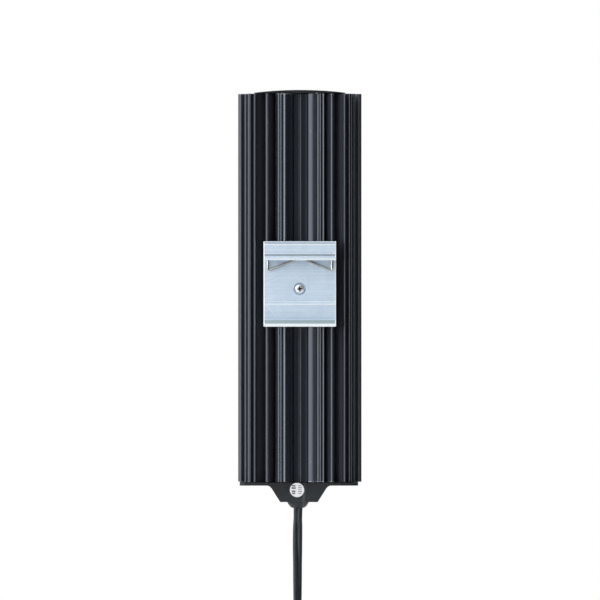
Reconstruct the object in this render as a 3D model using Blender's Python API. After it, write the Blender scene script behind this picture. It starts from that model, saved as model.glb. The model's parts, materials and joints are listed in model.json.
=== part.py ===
"""Finned enclosure heater with a rail clip on its back and a lead at its lower end.

X runs across the heater, Y runs from the rail into the heater and Z is up. The origin lies on the
plate of the rail clip, on its centre line, where the rail's lower flange bears. Metres.
"""

import math

import bmesh
import bpy

# Clearances
GAP = 0.0003  # between pieces that touch
STICKER_GAP = 0.00005
THREAD_GAP = 0.0003  # round a screw in its hole

# Heatsink extrusion, one section drawn as a quarter and mirrored
SECTION_WIDTH = 0.0700
SECTION_DEPTH = 0.0500
EXTRUSION_LENGTH = 0.2200
CORE_WIDTH = 0.0360
CORE_DEPTH = 0.0180
CHAMBER_WIDTH = 0.0260
CHAMBER_DEPTH = 0.0096
CHAMBER_CORNER = 0.0008
CHAMBER_WALL = 0.0033  # between the chamber and the hollow cell behind it
CELL_WIDTH = 0.0164
CELL_CORNER = 0.0010
STEM_THICKNESS = 0.0022
CHANNEL_DEPTH = 0.0040  # screw channel in the middle of the mounting wall
CHANNEL_FLOOR = 0.0032
SHOULDER_RADIUS = 0.0050
SHOULDER_TOP = 0.0082  # where the rounded shoulder reaches the back plane
SCRIBE_WIDTH = 0.0009
SCRIBE_DEPTH = 0.0004
LAND_DROP = 0.0005  # the fluted land lies this far inside the back plane
LAND_WIDTH = 0.0049
FLUTE_DEPTH = 0.00035
LIP_THICKNESS = 0.0032
PORT_RADIUS = 0.0016
PORT_FROM_CENTRE = 0.0099
PORT_FROM_BACK = 0.0038

# Fins of a quarter, as shares of the room they stand in: where each leaves the core, along its
# ledge or down its side from the corner, and where its centre line bends and its tip ends. Fins
# on the ledge share the room from the mounting wall's lip to the section's edge, and fins on the
# side share the room from the core's corner. Then the thickness at root and tip
FINS = (
    {
        "ledge": 0.59,
        "bends": (0.073, 0.675),
        "ends": (0.276, 1.0),
        "thick": (0.0018, 0.0023),
    },
    {
        "ledge": 0.17,
        "bends": (0.280, 0.475),
        "ends": (0.584, 0.919),
        "thick": (0.0015, 0.0014),
    },
    {
        "side": 0.20,
        "bends": (0.282, 0.200),
        "ends": (0.676, 0.725),
        "thick": (0.0015, 0.0024),
    },
    {
        "side": 0.50,
        "bends": (0.388, -0.063),
        "ends": (0.782, 0.406),
        "thick": (0.0014, 0.0015),
    },
    {
        "side": 0.81,
        "bends": (0.500, -0.375),
        "ends": (1.0, 0.031),
        "thick": (0.0016, 0.0032),
    },
)
FIN_STEPS = 6
TIP_STEPS = 5

# Heating stack inside the chamber, listed from the mounting side to the front
SLEEVE_THICKNESS = 0.0004
ELECTRODE_THICKNESS = 0.0008
STONE_THICKNESS = 0.0024
STONE_MARGIN = 0.0006  # the electrodes stand this far past the stones
STONE_COUNT = 4
STONE_SPACE = 0.0060  # between two stones
STONE_END_SPACE = 0.0090  # from the electrodes' ends to the first and last stone
STACK_FROM_BOTTOM = 0.0180
STACK_FROM_TOP = 0.0140
SLEEVE_OVERHANG = 0.0010
TAB_WIDTH = 0.0048
TAB_LENGTH = 0.0085
TAB_SPACING = 0.0110
TERMINAL_LENGTH = 0.0075
TERMINAL_WALL = 0.0005
TAB_SLACK = 0.0002
LEAD_DIAMETER = 0.0018
LEAD_SPACING = 0.0064
LOWER_INSULATOR_FROM_BOTTOM = 0.0025
LOWER_INSULATOR_LENGTH = 0.0040

# Upper cap
CAP_WIDTH = 0.0520
CAP_DEPTH = 0.0480
CAP_EDGE = 0.0002
CAP_CROWN = 0.0015
CAP_CORNER = 0.0070
CAP_PLUG_LENGTH = 0.0060
CAP_SCREW_LENGTH = 0.0100

# Screws
SCREW_RADIUS = 0.0013
SCREW_HEAD_RADIUS = 0.0024
SCREW_HEAD_HEIGHT = 0.0009
SMALL_SCREW_RADIUS = 0.0008
SMALL_HEAD_RADIUS = 0.0018
SMALL_HEAD_HEIGHT = 0.0011
SMALL_SCREW_LENGTH = 0.0075

# Connection box, measured down from the extrusion's lower end
BOX_SHIFT = -0.0005  # the box sits a little to one side in its play
FLANGE_WIDTH = 0.0671
FLANGE_DEPTH = 0.0470
FLANGE_THICKNESS = 0.0017
FLANGE_CORNER = 0.0030
BOX_SHOULDER_WIDTH = 0.0310
BOX_FOOT_WIDTH = 0.0212
BOX_SHOULDER_DROP = 0.0016
BOX_HEIGHT = 0.0093
BOX_DEPTH = 0.0310
BOX_FILLET = 0.0019
BOX_WALL = 0.0018
BOX_BACK_INSET = 0.0010  # from the extrusion's back plane to the box's back face
NOSE_RADIUS = 0.0062
NOSE_LENGTH = 0.0035
NOSE_END_RADIUS = 0.0034
COVER_THICKNESS = 0.0018
COVER_SCREW_SPACING = 0.0226
COVER_SCREW_DROP = 0.0029
BOSS_RADIUS = 0.0021
BOSS_LENGTH = 0.0100
BOX_SCREW_LENGTH = 0.0090
POST_RADIUS = 0.0021
POST_SPACING = 0.0124
CLAMP_HEIGHT = 0.0030
CLAMP_THICKNESS = 0.0018
CLAMP_RISE = 0.0008  # from the box's floor to the clamp's lower edge
BLOCK_WIDTH = 0.0130
BLOCK_DEPTH = 0.0066
BLOCK_HEIGHT = 0.0058
BLOCK_BEHIND_COVER = 0.0008
WIRE_DEPTH = 0.0024  # how far a wire goes into the terminal block
CORE_DIAMETER = 0.0018
CORE_SPACING = 0.0026
STICKER_DIAMETER = 0.0081
STICKER_THICKNESS = 0.00015
STICKER_SHIFT = -0.0016

# Rail clip, an extrusion whose section runs up and out from the rail's face; heights from its screw
CLIP_WIDTH = 0.0410
CLIP_PLATE = 0.0025
CLIP_SCREW_RISE = 0.0130  # from the origin up to the clip's screw
CLIP_TOP = 0.0269
CLIP_BOTTOM = -0.0214
UPPER_HOOK_REACH = 0.0060
UPPER_HOOK_EDGE = 0.0161
UPPER_HOOK_ROOF = 0.0025
HOOK_SLOT = 0.0036
HOOK_BEAD = 0.0003
HOOK_BEAD_HEIGHT = 0.0026
LOWER_HOOK_REACH = 0.0056
LOWER_HOOK_SEAT = -0.0181
LOWER_HOOK_CATCH = 0.0010
LOWER_HOOK_SLOT = 0.0026
LOWER_HOOK_FACE = 0.0020
GROOVE_DEPTH = 0.0004
GROOVE_WIDTH = 0.0007
SCRIBED_LINES = (-0.0070, -0.0086)
FRONT_GROOVE_DROP = 0.0011
DIMPLE_RADIUS = 0.0036
DIMPLE_FLOOR_RADIUS = 0.0031
DIMPLE_DEPTH = 0.0012
CLIP_HOLE_RADIUS = 0.0021
CLIP_SCREW_RADIUS = 0.0015
CLIP_SCREW_HEAD_RADIUS = 0.0026
CLIP_SCREW_HEAD_HEIGHT = 0.0018
CLIP_SCREW_LENGTH = 0.0098
CLIP_FROM_MIDDLE = 0.0006  # the clip's screw lies this far below the extrusion's middle

# Spring wire of the clip, distances from the centre line and heights from the clip's screw
SPRING_DIAMETER = 0.0012
SPRING_LEG = 0.0181
SPRING_CORNER_HEIGHT = 0.0104
SPRING_INNER_END = 0.0016
SPRING_END_RISE = 0.0008
SPRING_BEND = 0.0014

# Cord: a twin cord that hangs from the nose and is folded into a hank below
CORD_WIDTH = 0.0054
CORD_SHIFT = -0.0010
CORD_INSIDE = 0.0086  # how far the sheath reaches up from the nose's end
CORD_SWAY = (0.0, -0.0002, -0.0003, -0.0003, -0.0003, -0.0003, -0.0003)
CORD_DROP = 0.0600  # from the nose to the top of the hank's neck
CORD_POINT_SPACING = 0.0120
FOLD_RADIUS = 0.0164
RUN_LENGTH = 0.0810
WAIST_PINCH = 0.0040
LAYER_STEP = 0.0056
NECK_LENGTH = 0.0170
TAIL_LENGTH = 0.0200
TIE_WIDTH = 0.0080
TIE_THICKNESS = 0.0012
WAIST_SLACK = 0.0006  # play between the tie and the hank at its waist
CORE_END_LENGTH = 0.0060
FERRULE_COLLAR_RADIUS = 0.0015
FERRULE_COLLAR_LENGTH = 0.0050
FERRULE_PIN_RADIUS = 0.0007
FERRULE_PIN_LENGTH = 0.0070

# Places that follow from the sizes
back_plane = CLIP_PLATE + GAP
axis_y = back_plane + SECTION_DEPTH / 2
screw_z = CLIP_SCREW_RISE
middle_z = screw_z + CLIP_FROM_MIDDLE
top_z = middle_z + EXTRUSION_LENGTH / 2
bottom_z = middle_z - EXTRUSION_LENGTH / 2
box_back = back_plane + BOX_BACK_INSET
box_front = box_back + BOX_DEPTH
flange_under = bottom_z - GAP - FLANGE_THICKNESS
box_floor = flange_under - BOX_HEIGHT
nose_end = box_floor - NOSE_LENGTH
cord_x = CORD_SHIFT
cord_y = box_back + BOX_DEPTH / 2
cord_radius = CORD_WIDTH / 2
cord_top = nose_end + CORD_INSIDE


def clear_scene():
    for obj in list(bpy.data.objects):
        bpy.data.objects.remove(obj, do_unlink=True)


def material(name, color, roughness, metallic=0.0):
    """A Principled material, made once for each name."""
    existing = bpy.data.materials.get(name)
    if existing:
        return existing
    made = bpy.data.materials.new(name)
    made.use_nodes = True
    shader = made.node_tree.nodes["Principled BSDF"]
    shader.inputs["Base Color"].default_value = (*color, 1.0)
    shader.inputs["Roughness"].default_value = roughness
    shader.inputs["Metallic"].default_value = metallic
    return made


def black_anodised():
    return material("black_anodised", (0.018, 0.020, 0.024), 0.38, 0.6)


def clip_aluminium():
    return material("clip_aluminium", (0.60, 0.66, 0.72), 0.35, 1.0)


def steel():
    return material("steel", (0.55, 0.55, 0.54), 0.30, 1.0)


def spring_steel():
    return material("spring_steel", (0.50, 0.46, 0.36), 0.30, 1.0)


def black_moulding():
    return material("black_moulding", (0.035, 0.040, 0.046), 0.55)


def white_ceramic():
    return material("white_ceramic", (0.80, 0.78, 0.72), 0.60)


def plain_aluminium():
    return material("plain_aluminium", (0.75, 0.75, 0.76), 0.40, 1.0)


def amber_film():
    return material("amber_film", (0.55, 0.25, 0.05), 0.35)


def red_silicone():
    return material("red_silicone", (0.45, 0.05, 0.04), 0.50)


def sticker_white():
    return material("sticker_white", (0.85, 0.86, 0.86), 0.50)


def cord_sheath():
    return material("cord_sheath", (0.040, 0.045, 0.050), 0.48)


def core_sheath(name):
    tones = {"brown": (0.16, 0.07, 0.03), "blue": (0.03, 0.10, 0.35)}
    return material("core_" + name, tones[name], 0.45)


def finish(name, bm, surface, smooth_angle=30.0):
    """Turns a bmesh into a named object with its faces pointing out."""
    bmesh.ops.recalc_face_normals(bm, faces=bm.faces)
    mesh = bpy.data.meshes.new(name)
    bm.to_mesh(mesh)
    bm.free()
    mesh.shade_smooth()
    mesh.set_sharp_from_angle(angle=math.radians(smooth_angle))
    obj = bpy.data.objects.new(name, mesh)
    bpy.context.scene.collection.objects.link(obj)
    obj.data.materials.append(surface)
    return obj


def along_z(u, v, level):
    return (u, v, level)


def along_y(u, v, level):
    return (u, level, v)


def along_x(u, v, level):
    return (level, u, v)


def prism(name, outer, low, high, place, surface, holes=()):
    """Extrudes an outline and its holes from level low to level high."""
    bm = bmesh.new()
    rims = ([], [])
    for loop in (outer, *holes):
        rings = []
        for level, rim in zip((low, high), rims):
            ring = [bm.verts.new(place(u, v, level)) for u, v in loop]
            rings.append(ring)
            for here, following in zip(ring, ring[1:] + ring[:1]):
                rim.append(bm.edges.new((here, following)))
        lower, upper = rings
        for i in range(len(loop)):
            j = (i + 1) % len(loop)
            bm.faces.new((lower[i], lower[j], upper[j], upper[i]))
    for rim in rims:
        bmesh.ops.triangle_fill(bm, use_beauty=True, use_dissolve=False, edges=rim)
    return finish(name, bm, surface)


def turned(name, profile, centre, axis, surface, segments=20):
    """Turns a profile of (radius, distance along the axis) about a line through centre.

    axis is a letter with a sign. A radius of zero closes the end in a point.
    """
    sign = -1.0 if axis[0] == "-" else 1.0
    letter = axis[-1]
    bm = bmesh.new()
    rings = []
    for radius, distance in profile:
        ring = []
        for k in range(segments if radius > 0 else 1):
            angle = 2 * math.pi * k / segments
            a, b = radius * math.cos(angle), radius * math.sin(angle)
            along = sign * distance
            offset = {"x": (along, a, b), "y": (a, along, b), "z": (a, b, along)}[letter]
            ring.append(bm.verts.new([c + o for c, o in zip(centre, offset)]))
        rings.append(ring)
    for first, second in zip(rings, rings[1:]):
        for k in range(segments):
            n = (k + 1) % segments
            if len(first) == 1:
                bm.faces.new((first[0], second[n], second[k]))
            elif len(second) == 1:
                bm.faces.new((first[k], first[n], second[0]))
            else:
                bm.faces.new((first[k], first[n], second[n], second[k]))
    return finish(name, bm, surface)


def block(name, low, high, surface):
    """A box between two corners."""
    outline = rectangle(low[0], high[0], low[1], high[1])
    return prism(name, outline, low[2], high[2], along_z, surface)


def wire(name, points, radius, surface, sides=2):
    """A round wire along a polyline, with flat filled ends."""
    curve = bpy.data.curves.new(name, "CURVE")
    curve.dimensions = "3D"
    curve.bevel_depth = radius
    curve.bevel_resolution = sides
    curve.use_fill_caps = True
    curve.render_resolution_u = 0
    spline = curve.splines.new("POLY")
    spline.points.add(len(points) - 1)
    for point, place in zip(spline.points, points):
        point.co = (*place, 1.0)
    obj = bpy.data.objects.new(name, curve)
    bpy.context.scene.collection.objects.link(obj)
    obj.data.materials.append(surface)
    return obj


def combine(obj, tool, operation):
    """Adds a Boolean whose tool is hidden."""
    tool.hide_render = True
    tool.display_type = "WIRE"
    boolean = obj.modifiers.new(operation.lower() + "_" + tool.name, "BOOLEAN")
    boolean.operation = operation
    boolean.solver = "EXACT"
    boolean.object = tool


def soften(obj, width, segments=1, angle=50.0):
    """Rounds the edges of a moulded piece that are sharper than an angle."""
    bevel = obj.modifiers.new("soften", "BEVEL")
    bevel.width = width
    bevel.segments = segments
    bevel.limit_method = "ANGLE"
    bevel.angle_limit = math.radians(angle)


def rectangle(left, right, low, high):
    return [(left, low), (right, low), (right, high), (left, high)]


def rounded_rectangle(half_u, half_v, radius, centre=(0.0, 0.0), steps=4):
    """A rectangle whose corners are arcs, anticlockwise."""
    points = []
    for corner in range(4):
        start = corner * math.pi / 2
        cu = (half_u - radius) * (1 if corner in (0, 3) else -1) + centre[0]
        cv = (half_v - radius) * (1 if corner in (0, 1) else -1) + centre[1]
        for k in range(steps + 1):
            angle = start + math.pi / 2 * k / steps
            points.append((cu + radius * math.cos(angle), cv + radius * math.sin(angle)))
    return points


def circle(radius, centre, steps=16):
    points = []
    for k in range(steps):
        angle = 2 * math.pi * k / steps
        points.append((centre[0] + radius * math.cos(angle), centre[1] + radius * math.sin(angle)))
    return points


def bezier(start, bend, end, t):
    """A point of a curve with one bend point."""
    return tuple((1 - t) ** 2 * a + 2 * t * (1 - t) * b + t**2 * c for a, b, c in zip(start, bend, end))


def fin_outline(fin):
    """One fin in a quarter section: its inner face, its round tip and its outer face.

    The centre line is a curve with one bend, and the faces lie half the thickness off it, which
    changes evenly from root to tip.
    """
    corner = (CORE_WIDTH / 2, CORE_DEPTH / 2)
    root_half, tip_half = (thickness / 2 for thickness in fin["thick"])
    if "ledge" in fin:
        ledge = corner[0] - CELL_WIDTH / 2 - STEM_THICKNESS
        root = (corner[0] - fin["ledge"] * ledge, corner[1])
        start = (lip_edge(), corner[1])
    else:
        root = (corner[0], corner[1] * (1 - fin["side"]))
        start = corner
    room = (SECTION_WIDTH / 2 - start[0], SECTION_DEPTH / 2 - start[1])
    bend = (start[0] + fin["bends"][0] * room[0], start[1] + fin["bends"][1] * room[1])
    tip = (
        start[0] + fin["ends"][0] * room[0] - tip_half,
        start[1] + fin["ends"][1] * room[1] - tip_half,
    )
    inner, outer = [], []
    for k in range(FIN_STEPS + 1):
        t = k / FIN_STEPS
        x, d = bezier(root, bend, tip, t)
        run = (1 - t) * (bend[0] - root[0]) + t * (tip[0] - bend[0])
        rise = (1 - t) * (bend[1] - root[1]) + t * (tip[1] - bend[1])
        length = math.hypot(run, rise)
        half = root_half + (tip_half - root_half) * t
        side = (-rise / length * half, run / length * half)
        inner.append((x + side[0], d + side[1]))
        outer.append((x - side[0], d - side[1]))
    heading = math.atan2(inner[-1][1] - tip[1], inner[-1][0] - tip[0])
    cap = []
    for k in range(1, TIP_STEPS + 1):
        angle = heading - math.pi * k / (TIP_STEPS + 1)
        cap.append((tip[0] + tip_half * math.cos(angle), tip[1] + tip_half * math.sin(angle)))
    return inner + cap + outer[::-1]


def lip_edge():
    """How far the mounting wall's lip reaches from the middle."""
    return SHOULDER_TOP + LAND_DROP + LAND_WIDTH


def mounting_wall_outline():
    """Half of the mounting wall, from its centre line outwards and down its stem to the core.

    A scribed line marks the screw channel's middle. A rounded shoulder rises from the channel to
    the back plane, and a lower land with three flutes runs out to the lip.
    """
    back = SECTION_DEPTH / 2
    channel = back - CHANNEL_DEPTH
    points = [(0.0, channel - SCRIBE_DEPTH), (SCRIBE_WIDTH / 2, channel)]
    start = math.asin((SHOULDER_RADIUS - CHANNEL_DEPTH) / SHOULDER_RADIUS)
    for k in range(8):
        angle = start + (math.pi / 2 - start) * k / 7
        points.append(
            (
                SHOULDER_TOP - SHOULDER_RADIUS * math.cos(angle),
                back - SHOULDER_RADIUS + SHOULDER_RADIUS * math.sin(angle),
            )
        )
    land = back - LAND_DROP
    left = SHOULDER_TOP + LAND_DROP
    points.append((left, land))
    for first, last in ((0.0, 0.37), (0.37, 0.62), (0.62, 1.0)):
        for part in (0.25, 0.5, 0.75, 1.0):
            u = left + LAND_WIDTH * (first + (last - first) * part)
            points.append((u, land - FLUTE_DEPTH * math.sin(math.pi * part)))
    lip = points[-1][0]
    stem = CELL_WIDTH / 2 + STEM_THICKNESS
    underside = channel - CHANNEL_FLOOR
    points.append((lip, land - LIP_THICKNESS))
    points.append((stem + 0.0006, underside))
    points.append((stem, underside - 0.0006))
    points.append((stem, CORE_DEPTH / 2))
    return points


def heatsink_outline():
    """The whole outer outline, four mirrored quarters, as (x, y)."""
    quarter = mounting_wall_outline()
    for fin in FINS:
        quarter += fin_outline(fin)
    right = [(x, -d) for x, d in quarter] + [(x, d) for x, d in quarter[::-1]]
    left = [(-x, y) for x, y in right[1:-1][::-1]]
    return [(x, axis_y + y) for x, y in right + left]


def heatsink_extrusion():
    """The extrusion with its chamber, its two hollow cells and four screw ports."""
    cell_near = CHAMBER_DEPTH / 2 + CHAMBER_WALL
    cell_far = SECTION_DEPTH / 2 - CHANNEL_DEPTH - CHANNEL_FLOOR
    cell_middle = (cell_near + cell_far) / 2
    holes = [rounded_rectangle(CHAMBER_WIDTH / 2, CHAMBER_DEPTH / 2, CHAMBER_CORNER, (0.0, axis_y))]
    for side in (-1, 1):
        centre = (0.0, axis_y + side * cell_middle)
        holes.append(rounded_rectangle(CELL_WIDTH / 2, (cell_far - cell_near) / 2, CELL_CORNER, centre))
    holes += [circle(PORT_RADIUS, place, 12) for place in screw_ports()]
    body = prism(
        "heatsink_extrusion", heatsink_outline(), bottom_z, top_z, along_z, black_anodised(), holes
    )
    bore_depth = CHANNEL_DEPTH + CHANNEL_FLOOR + 0.001
    bore_radius = CLIP_SCREW_RADIUS + THREAD_GAP
    profile = [(0, 0), (bore_radius, 0), (bore_radius, bore_depth), (0, bore_depth)]
    bore = turned("clip_screw_bore", profile, (0.0, back_plane, screw_z), "y", black_anodised(), 16)
    combine(body, bore, "DIFFERENCE")
    return body


def screw_ports():
    """Centres of the four screw ports, the two on the mounting side first."""
    depth = SECTION_DEPTH / 2 - PORT_FROM_BACK
    return [(x * PORT_FROM_CENTRE, axis_y + y * depth) for y in (-1, 1) for x in (-1, 1)]


def countersunk_screw(name, place, top, axis, length, surface):
    """A countersunk screw whose head ends at top and whose shank runs away from it."""
    profile = [
        (0, 0),
        (SCREW_HEAD_RADIUS, 0),
        (SCREW_RADIUS, SCREW_HEAD_HEIGHT),
        (SCREW_RADIUS, length - SCREW_RADIUS),
        (0, length),
    ]
    return turned(name, profile, (*place, top), axis, surface, 16)


def countersink(name, place, top, axis, through):
    """The cutter for a countersunk screw, wider than the screw by its clearance."""
    profile = [
        (0, -0.001),
        (SCREW_HEAD_RADIUS + THREAD_GAP, -0.001),
        (SCREW_HEAD_RADIUS + THREAD_GAP, 0.0001),
        (SCREW_RADIUS + THREAD_GAP, SCREW_HEAD_HEIGHT + 0.0001),
        (SCREW_RADIUS + THREAD_GAP, through),
        (0, through),
    ]
    return turned(name, profile, (*place, top), axis, black_moulding(), 16)


def crown_height(x):
    """Height of the upper cap's top above its seat, a low arch across its width."""
    share = min(1.0, abs(x) / (CAP_WIDTH / 2))
    return CAP_EDGE + CAP_CROWN * (1 - share**2)


def top_cap():
    """The upper cap: an arched plate with a plug that fills the chamber's mouth."""
    seat = top_z + GAP
    steps = 20
    arch = []
    for k in range(steps + 1):
        x = CAP_WIDTH / 2 - CAP_WIDTH * k / steps
        arch.append((x, seat + crown_height(x)))
    outline = [(-CAP_WIDTH / 2, seat), (CAP_WIDTH / 2, seat)] + arch
    cap = prism("top_cap", outline, axis_y - CAP_DEPTH / 2, axis_y + CAP_DEPTH / 2, along_y, black_moulding())
    corner_cutter(cap, seat)
    plug_outline = rounded_rectangle(
        CHAMBER_WIDTH / 2 - GAP, CHAMBER_DEPTH / 2 - GAP, CHAMBER_CORNER, (0.0, axis_y)
    )
    plug = prism(
        "cap_plug", plug_outline, top_z - CAP_PLUG_LENGTH, seat + CAP_EDGE / 2, along_z, black_moulding()
    )
    combine(cap, plug, "UNION")
    for number, (x, y) in enumerate(screw_ports(), 1):
        top = seat + crown_height(x + math.copysign(SCREW_HEAD_RADIUS, x))
        hole = countersink(f"cap_hole_{number}", (x, y), top, "-z", 0.004)
        combine(cap, hole, "DIFFERENCE")
        countersunk_screw(f"top_cap_screw_{number}", (x, y), top, "-z", CAP_SCREW_LENGTH, steel())
    return cap


def corner_cutter(cap, seat):
    """Rounds the four upright corners of the cap by keeping what lies in a rounded column."""
    outline = rounded_rectangle(CAP_WIDTH / 2 - 0.0001, CAP_DEPTH / 2 - 0.0001, CAP_CORNER, (0.0, axis_y), 6)
    high = seat + 2 * (CAP_EDGE + CAP_CROWN)
    column = prism("cap_column", outline, top_z - GAP, high, along_z, black_moulding())
    combine(cap, column, "INTERSECT")


def heating_stack():
    """Sleeve, electrodes, stones and pressure bar, stacked from the mounting side to the front."""
    low = bottom_z + STACK_FROM_BOTTOM
    high = top_z - STACK_FROM_TOP
    sleeve_half = CHAMBER_WIDTH / 2 - GAP
    electrode_half = sleeve_half - SLEEVE_THICKNESS - GAP
    stone_half = electrode_half - STONE_MARGIN
    y = axis_y - CHAMBER_DEPTH / 2 + GAP
    sleeve_back = y
    y += SLEEVE_THICKNESS + GAP
    electrodes = [y]
    y += ELECTRODE_THICKNESS + GAP
    stone_back = y
    y += STONE_THICKNESS + GAP
    electrodes.append(y)
    y += ELECTRODE_THICKNESS + GAP
    sleeve_front = y + SLEEVE_THICKNESS
    bar_back = sleeve_front + GAP
    bar_front = axis_y + CHAMBER_DEPTH / 2 - GAP
    sleeve_outline = rectangle(-sleeve_half, sleeve_half, sleeve_back, sleeve_front)
    sleeve_hole = rectangle(
        -sleeve_half + SLEEVE_THICKNESS,
        sleeve_half - SLEEVE_THICKNESS,
        sleeve_back + SLEEVE_THICKNESS,
        sleeve_front - SLEEVE_THICKNESS,
    )
    prism(
        "insulating_sleeve",
        sleeve_outline,
        low - SLEEVE_OVERHANG,
        high + SLEEVE_OVERHANG,
        along_z,
        amber_film(),
        [sleeve_hole],
    )
    for name, side, back in zip(("back_electrode", "front_electrode"), (-1, 1), electrodes):
        tab = side * TAB_SPACING / 2
        outline = [
            (-electrode_half, low),
            (tab - TAB_WIDTH / 2, low),
            (tab - TAB_WIDTH / 2, low - TAB_LENGTH),
            (tab + TAB_WIDTH / 2, low - TAB_LENGTH),
            (tab + TAB_WIDTH / 2, low),
            (electrode_half, low),
            (electrode_half, high),
            (-electrode_half, high),
        ]
        prism(name, outline, back, back + ELECTRODE_THICKNESS, along_y, plain_aluminium())
    stone_run = high - low - 2 * STONE_END_SPACE - (STONE_COUNT - 1) * STONE_SPACE
    stone_length = stone_run / STONE_COUNT
    for k in range(STONE_COUNT):
        start = low + STONE_END_SPACE + k * (stone_length + STONE_SPACE)
        stone = block(
            f"heating_stone_{k + 1}",
            (-stone_half, stone_back, start),
            (stone_half, stone_back + STONE_THICKNESS, start + stone_length),
            white_ceramic(),
        )
        soften(stone, 0.0003)
    block("pressure_bar", (-stone_half, bar_back, low), (stone_half, bar_front, high), plain_aluminium())
    return [back + ELECTRODE_THICKNESS / 2 for back in electrodes]


def insulators(leads):
    """Blocks that close the chamber above and below the stack; leads pass through the lower one."""
    half = CHAMBER_WIDTH / 2 - GAP
    outline = rounded_rectangle(half, CHAMBER_DEPTH / 2 - GAP, CHAMBER_CORNER, (0.0, axis_y))
    upper_low = top_z - STACK_FROM_TOP + SLEEVE_OVERHANG + GAP
    prism("upper_insulator", outline, upper_low, top_z - CAP_PLUG_LENGTH - GAP, along_z, white_ceramic())
    low = bottom_z + LOWER_INSULATOR_FROM_BOTTOM
    holes = [circle(LEAD_DIAMETER / 2 + GAP, lead, 12) for lead in leads]
    prism("lower_insulator", outline, low, low + LOWER_INSULATOR_LENGTH, along_z, white_ceramic(), holes)


def terminals_and_leads(tab_depths):
    """Push-on terminals on the electrode tabs, and the leads from them to the terminal block."""
    tab_end = bottom_z + STACK_FROM_BOTTOM - TAB_LENGTH
    low = tab_end - 0.0010
    slot_u = TAB_WIDTH / 2 + TAB_SLACK
    slot_v = ELECTRODE_THICKNESS / 2 + TAB_SLACK
    block_top = box_floor + BOX_WALL + GAP + BLOCK_HEIGHT
    wire_y = box_front - BLOCK_BEHIND_COVER - BLOCK_DEPTH / 2
    for number, side, y in zip((1, 2), (-1, 1), tab_depths):
        x = side * TAB_SPACING / 2
        wall = TERMINAL_WALL
        outline = rectangle(x - slot_u - wall, x + slot_u + wall, y - slot_v - wall, y + slot_v + wall)
        slot = rectangle(x - slot_u, x + slot_u, y - slot_v, y + slot_v)
        prism(
            f"push_terminal_{number}", outline, low, low + TERMINAL_LENGTH, along_z, steel(), [slot]
        )
        end_x = BOX_SHIFT + side * LEAD_SPACING / 2
        insulator_foot = bottom_z + LOWER_INSULATOR_FROM_BOTTOM
        start = (x, y, insulator_foot - 0.0004)
        bend_down = (x, y, insulator_foot - 0.0030)
        bend_up = (end_x, wire_y, block_top + 0.0040)
        end = (end_x, wire_y, block_top + 0.0005)
        points = [(x, y, low - GAP), start]
        for k in range(1, 12):
            t = k / 12
            points.append(cubic(start, bend_down, bend_up, end, t))
        points += [end, (end_x, wire_y, block_top - WIRE_DEPTH + GAP)]
        wire(f"inner_lead_{number}", points, LEAD_DIAMETER / 2, red_silicone())


def cubic(a, b, c, d, t):
    """A point of a curve with two bend points."""
    s = 1 - t
    return tuple(s**3 * i + 3 * s**2 * t * j + 3 * s * t**2 * k + t**3 * m for i, j, k, m in zip(a, b, c, d))


def box_outline(inset=0.0, drop=0.0):
    """The connection box seen from behind: straight sides that taper down to a flat foot.

    inset moves the outline inwards, and drop lowers its upper edge below the flange.
    """
    shoulder_z = flange_under - BOX_SHOULDER_DROP
    foot_z = box_floor + inset
    shoulder = BOX_SHOULDER_WIDTH / 2
    foot = BOX_FOOT_WIDTH / 2
    lean = (shoulder - foot) / (shoulder_z - box_floor)
    side = inset * math.hypot(1.0, lean)
    top = flange_under - drop

    def half_width(z):
        return foot + (z - box_floor) * lean - side

    right = [(half_width(foot_z), foot_z)]
    if inset == 0.0:
        corner = (half_width(top), top)
        leave = (corner[0] + BOX_FILLET, top)
        right += [bezier((shoulder, shoulder_z), corner, leave, k / 4) for k in range(5)]
    else:
        right.append((half_width(top), top))
    left = [(-x, z) for x, z in right[::-1]]
    return [(BOX_SHIFT + x, z) for x, z in right + left]


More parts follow.
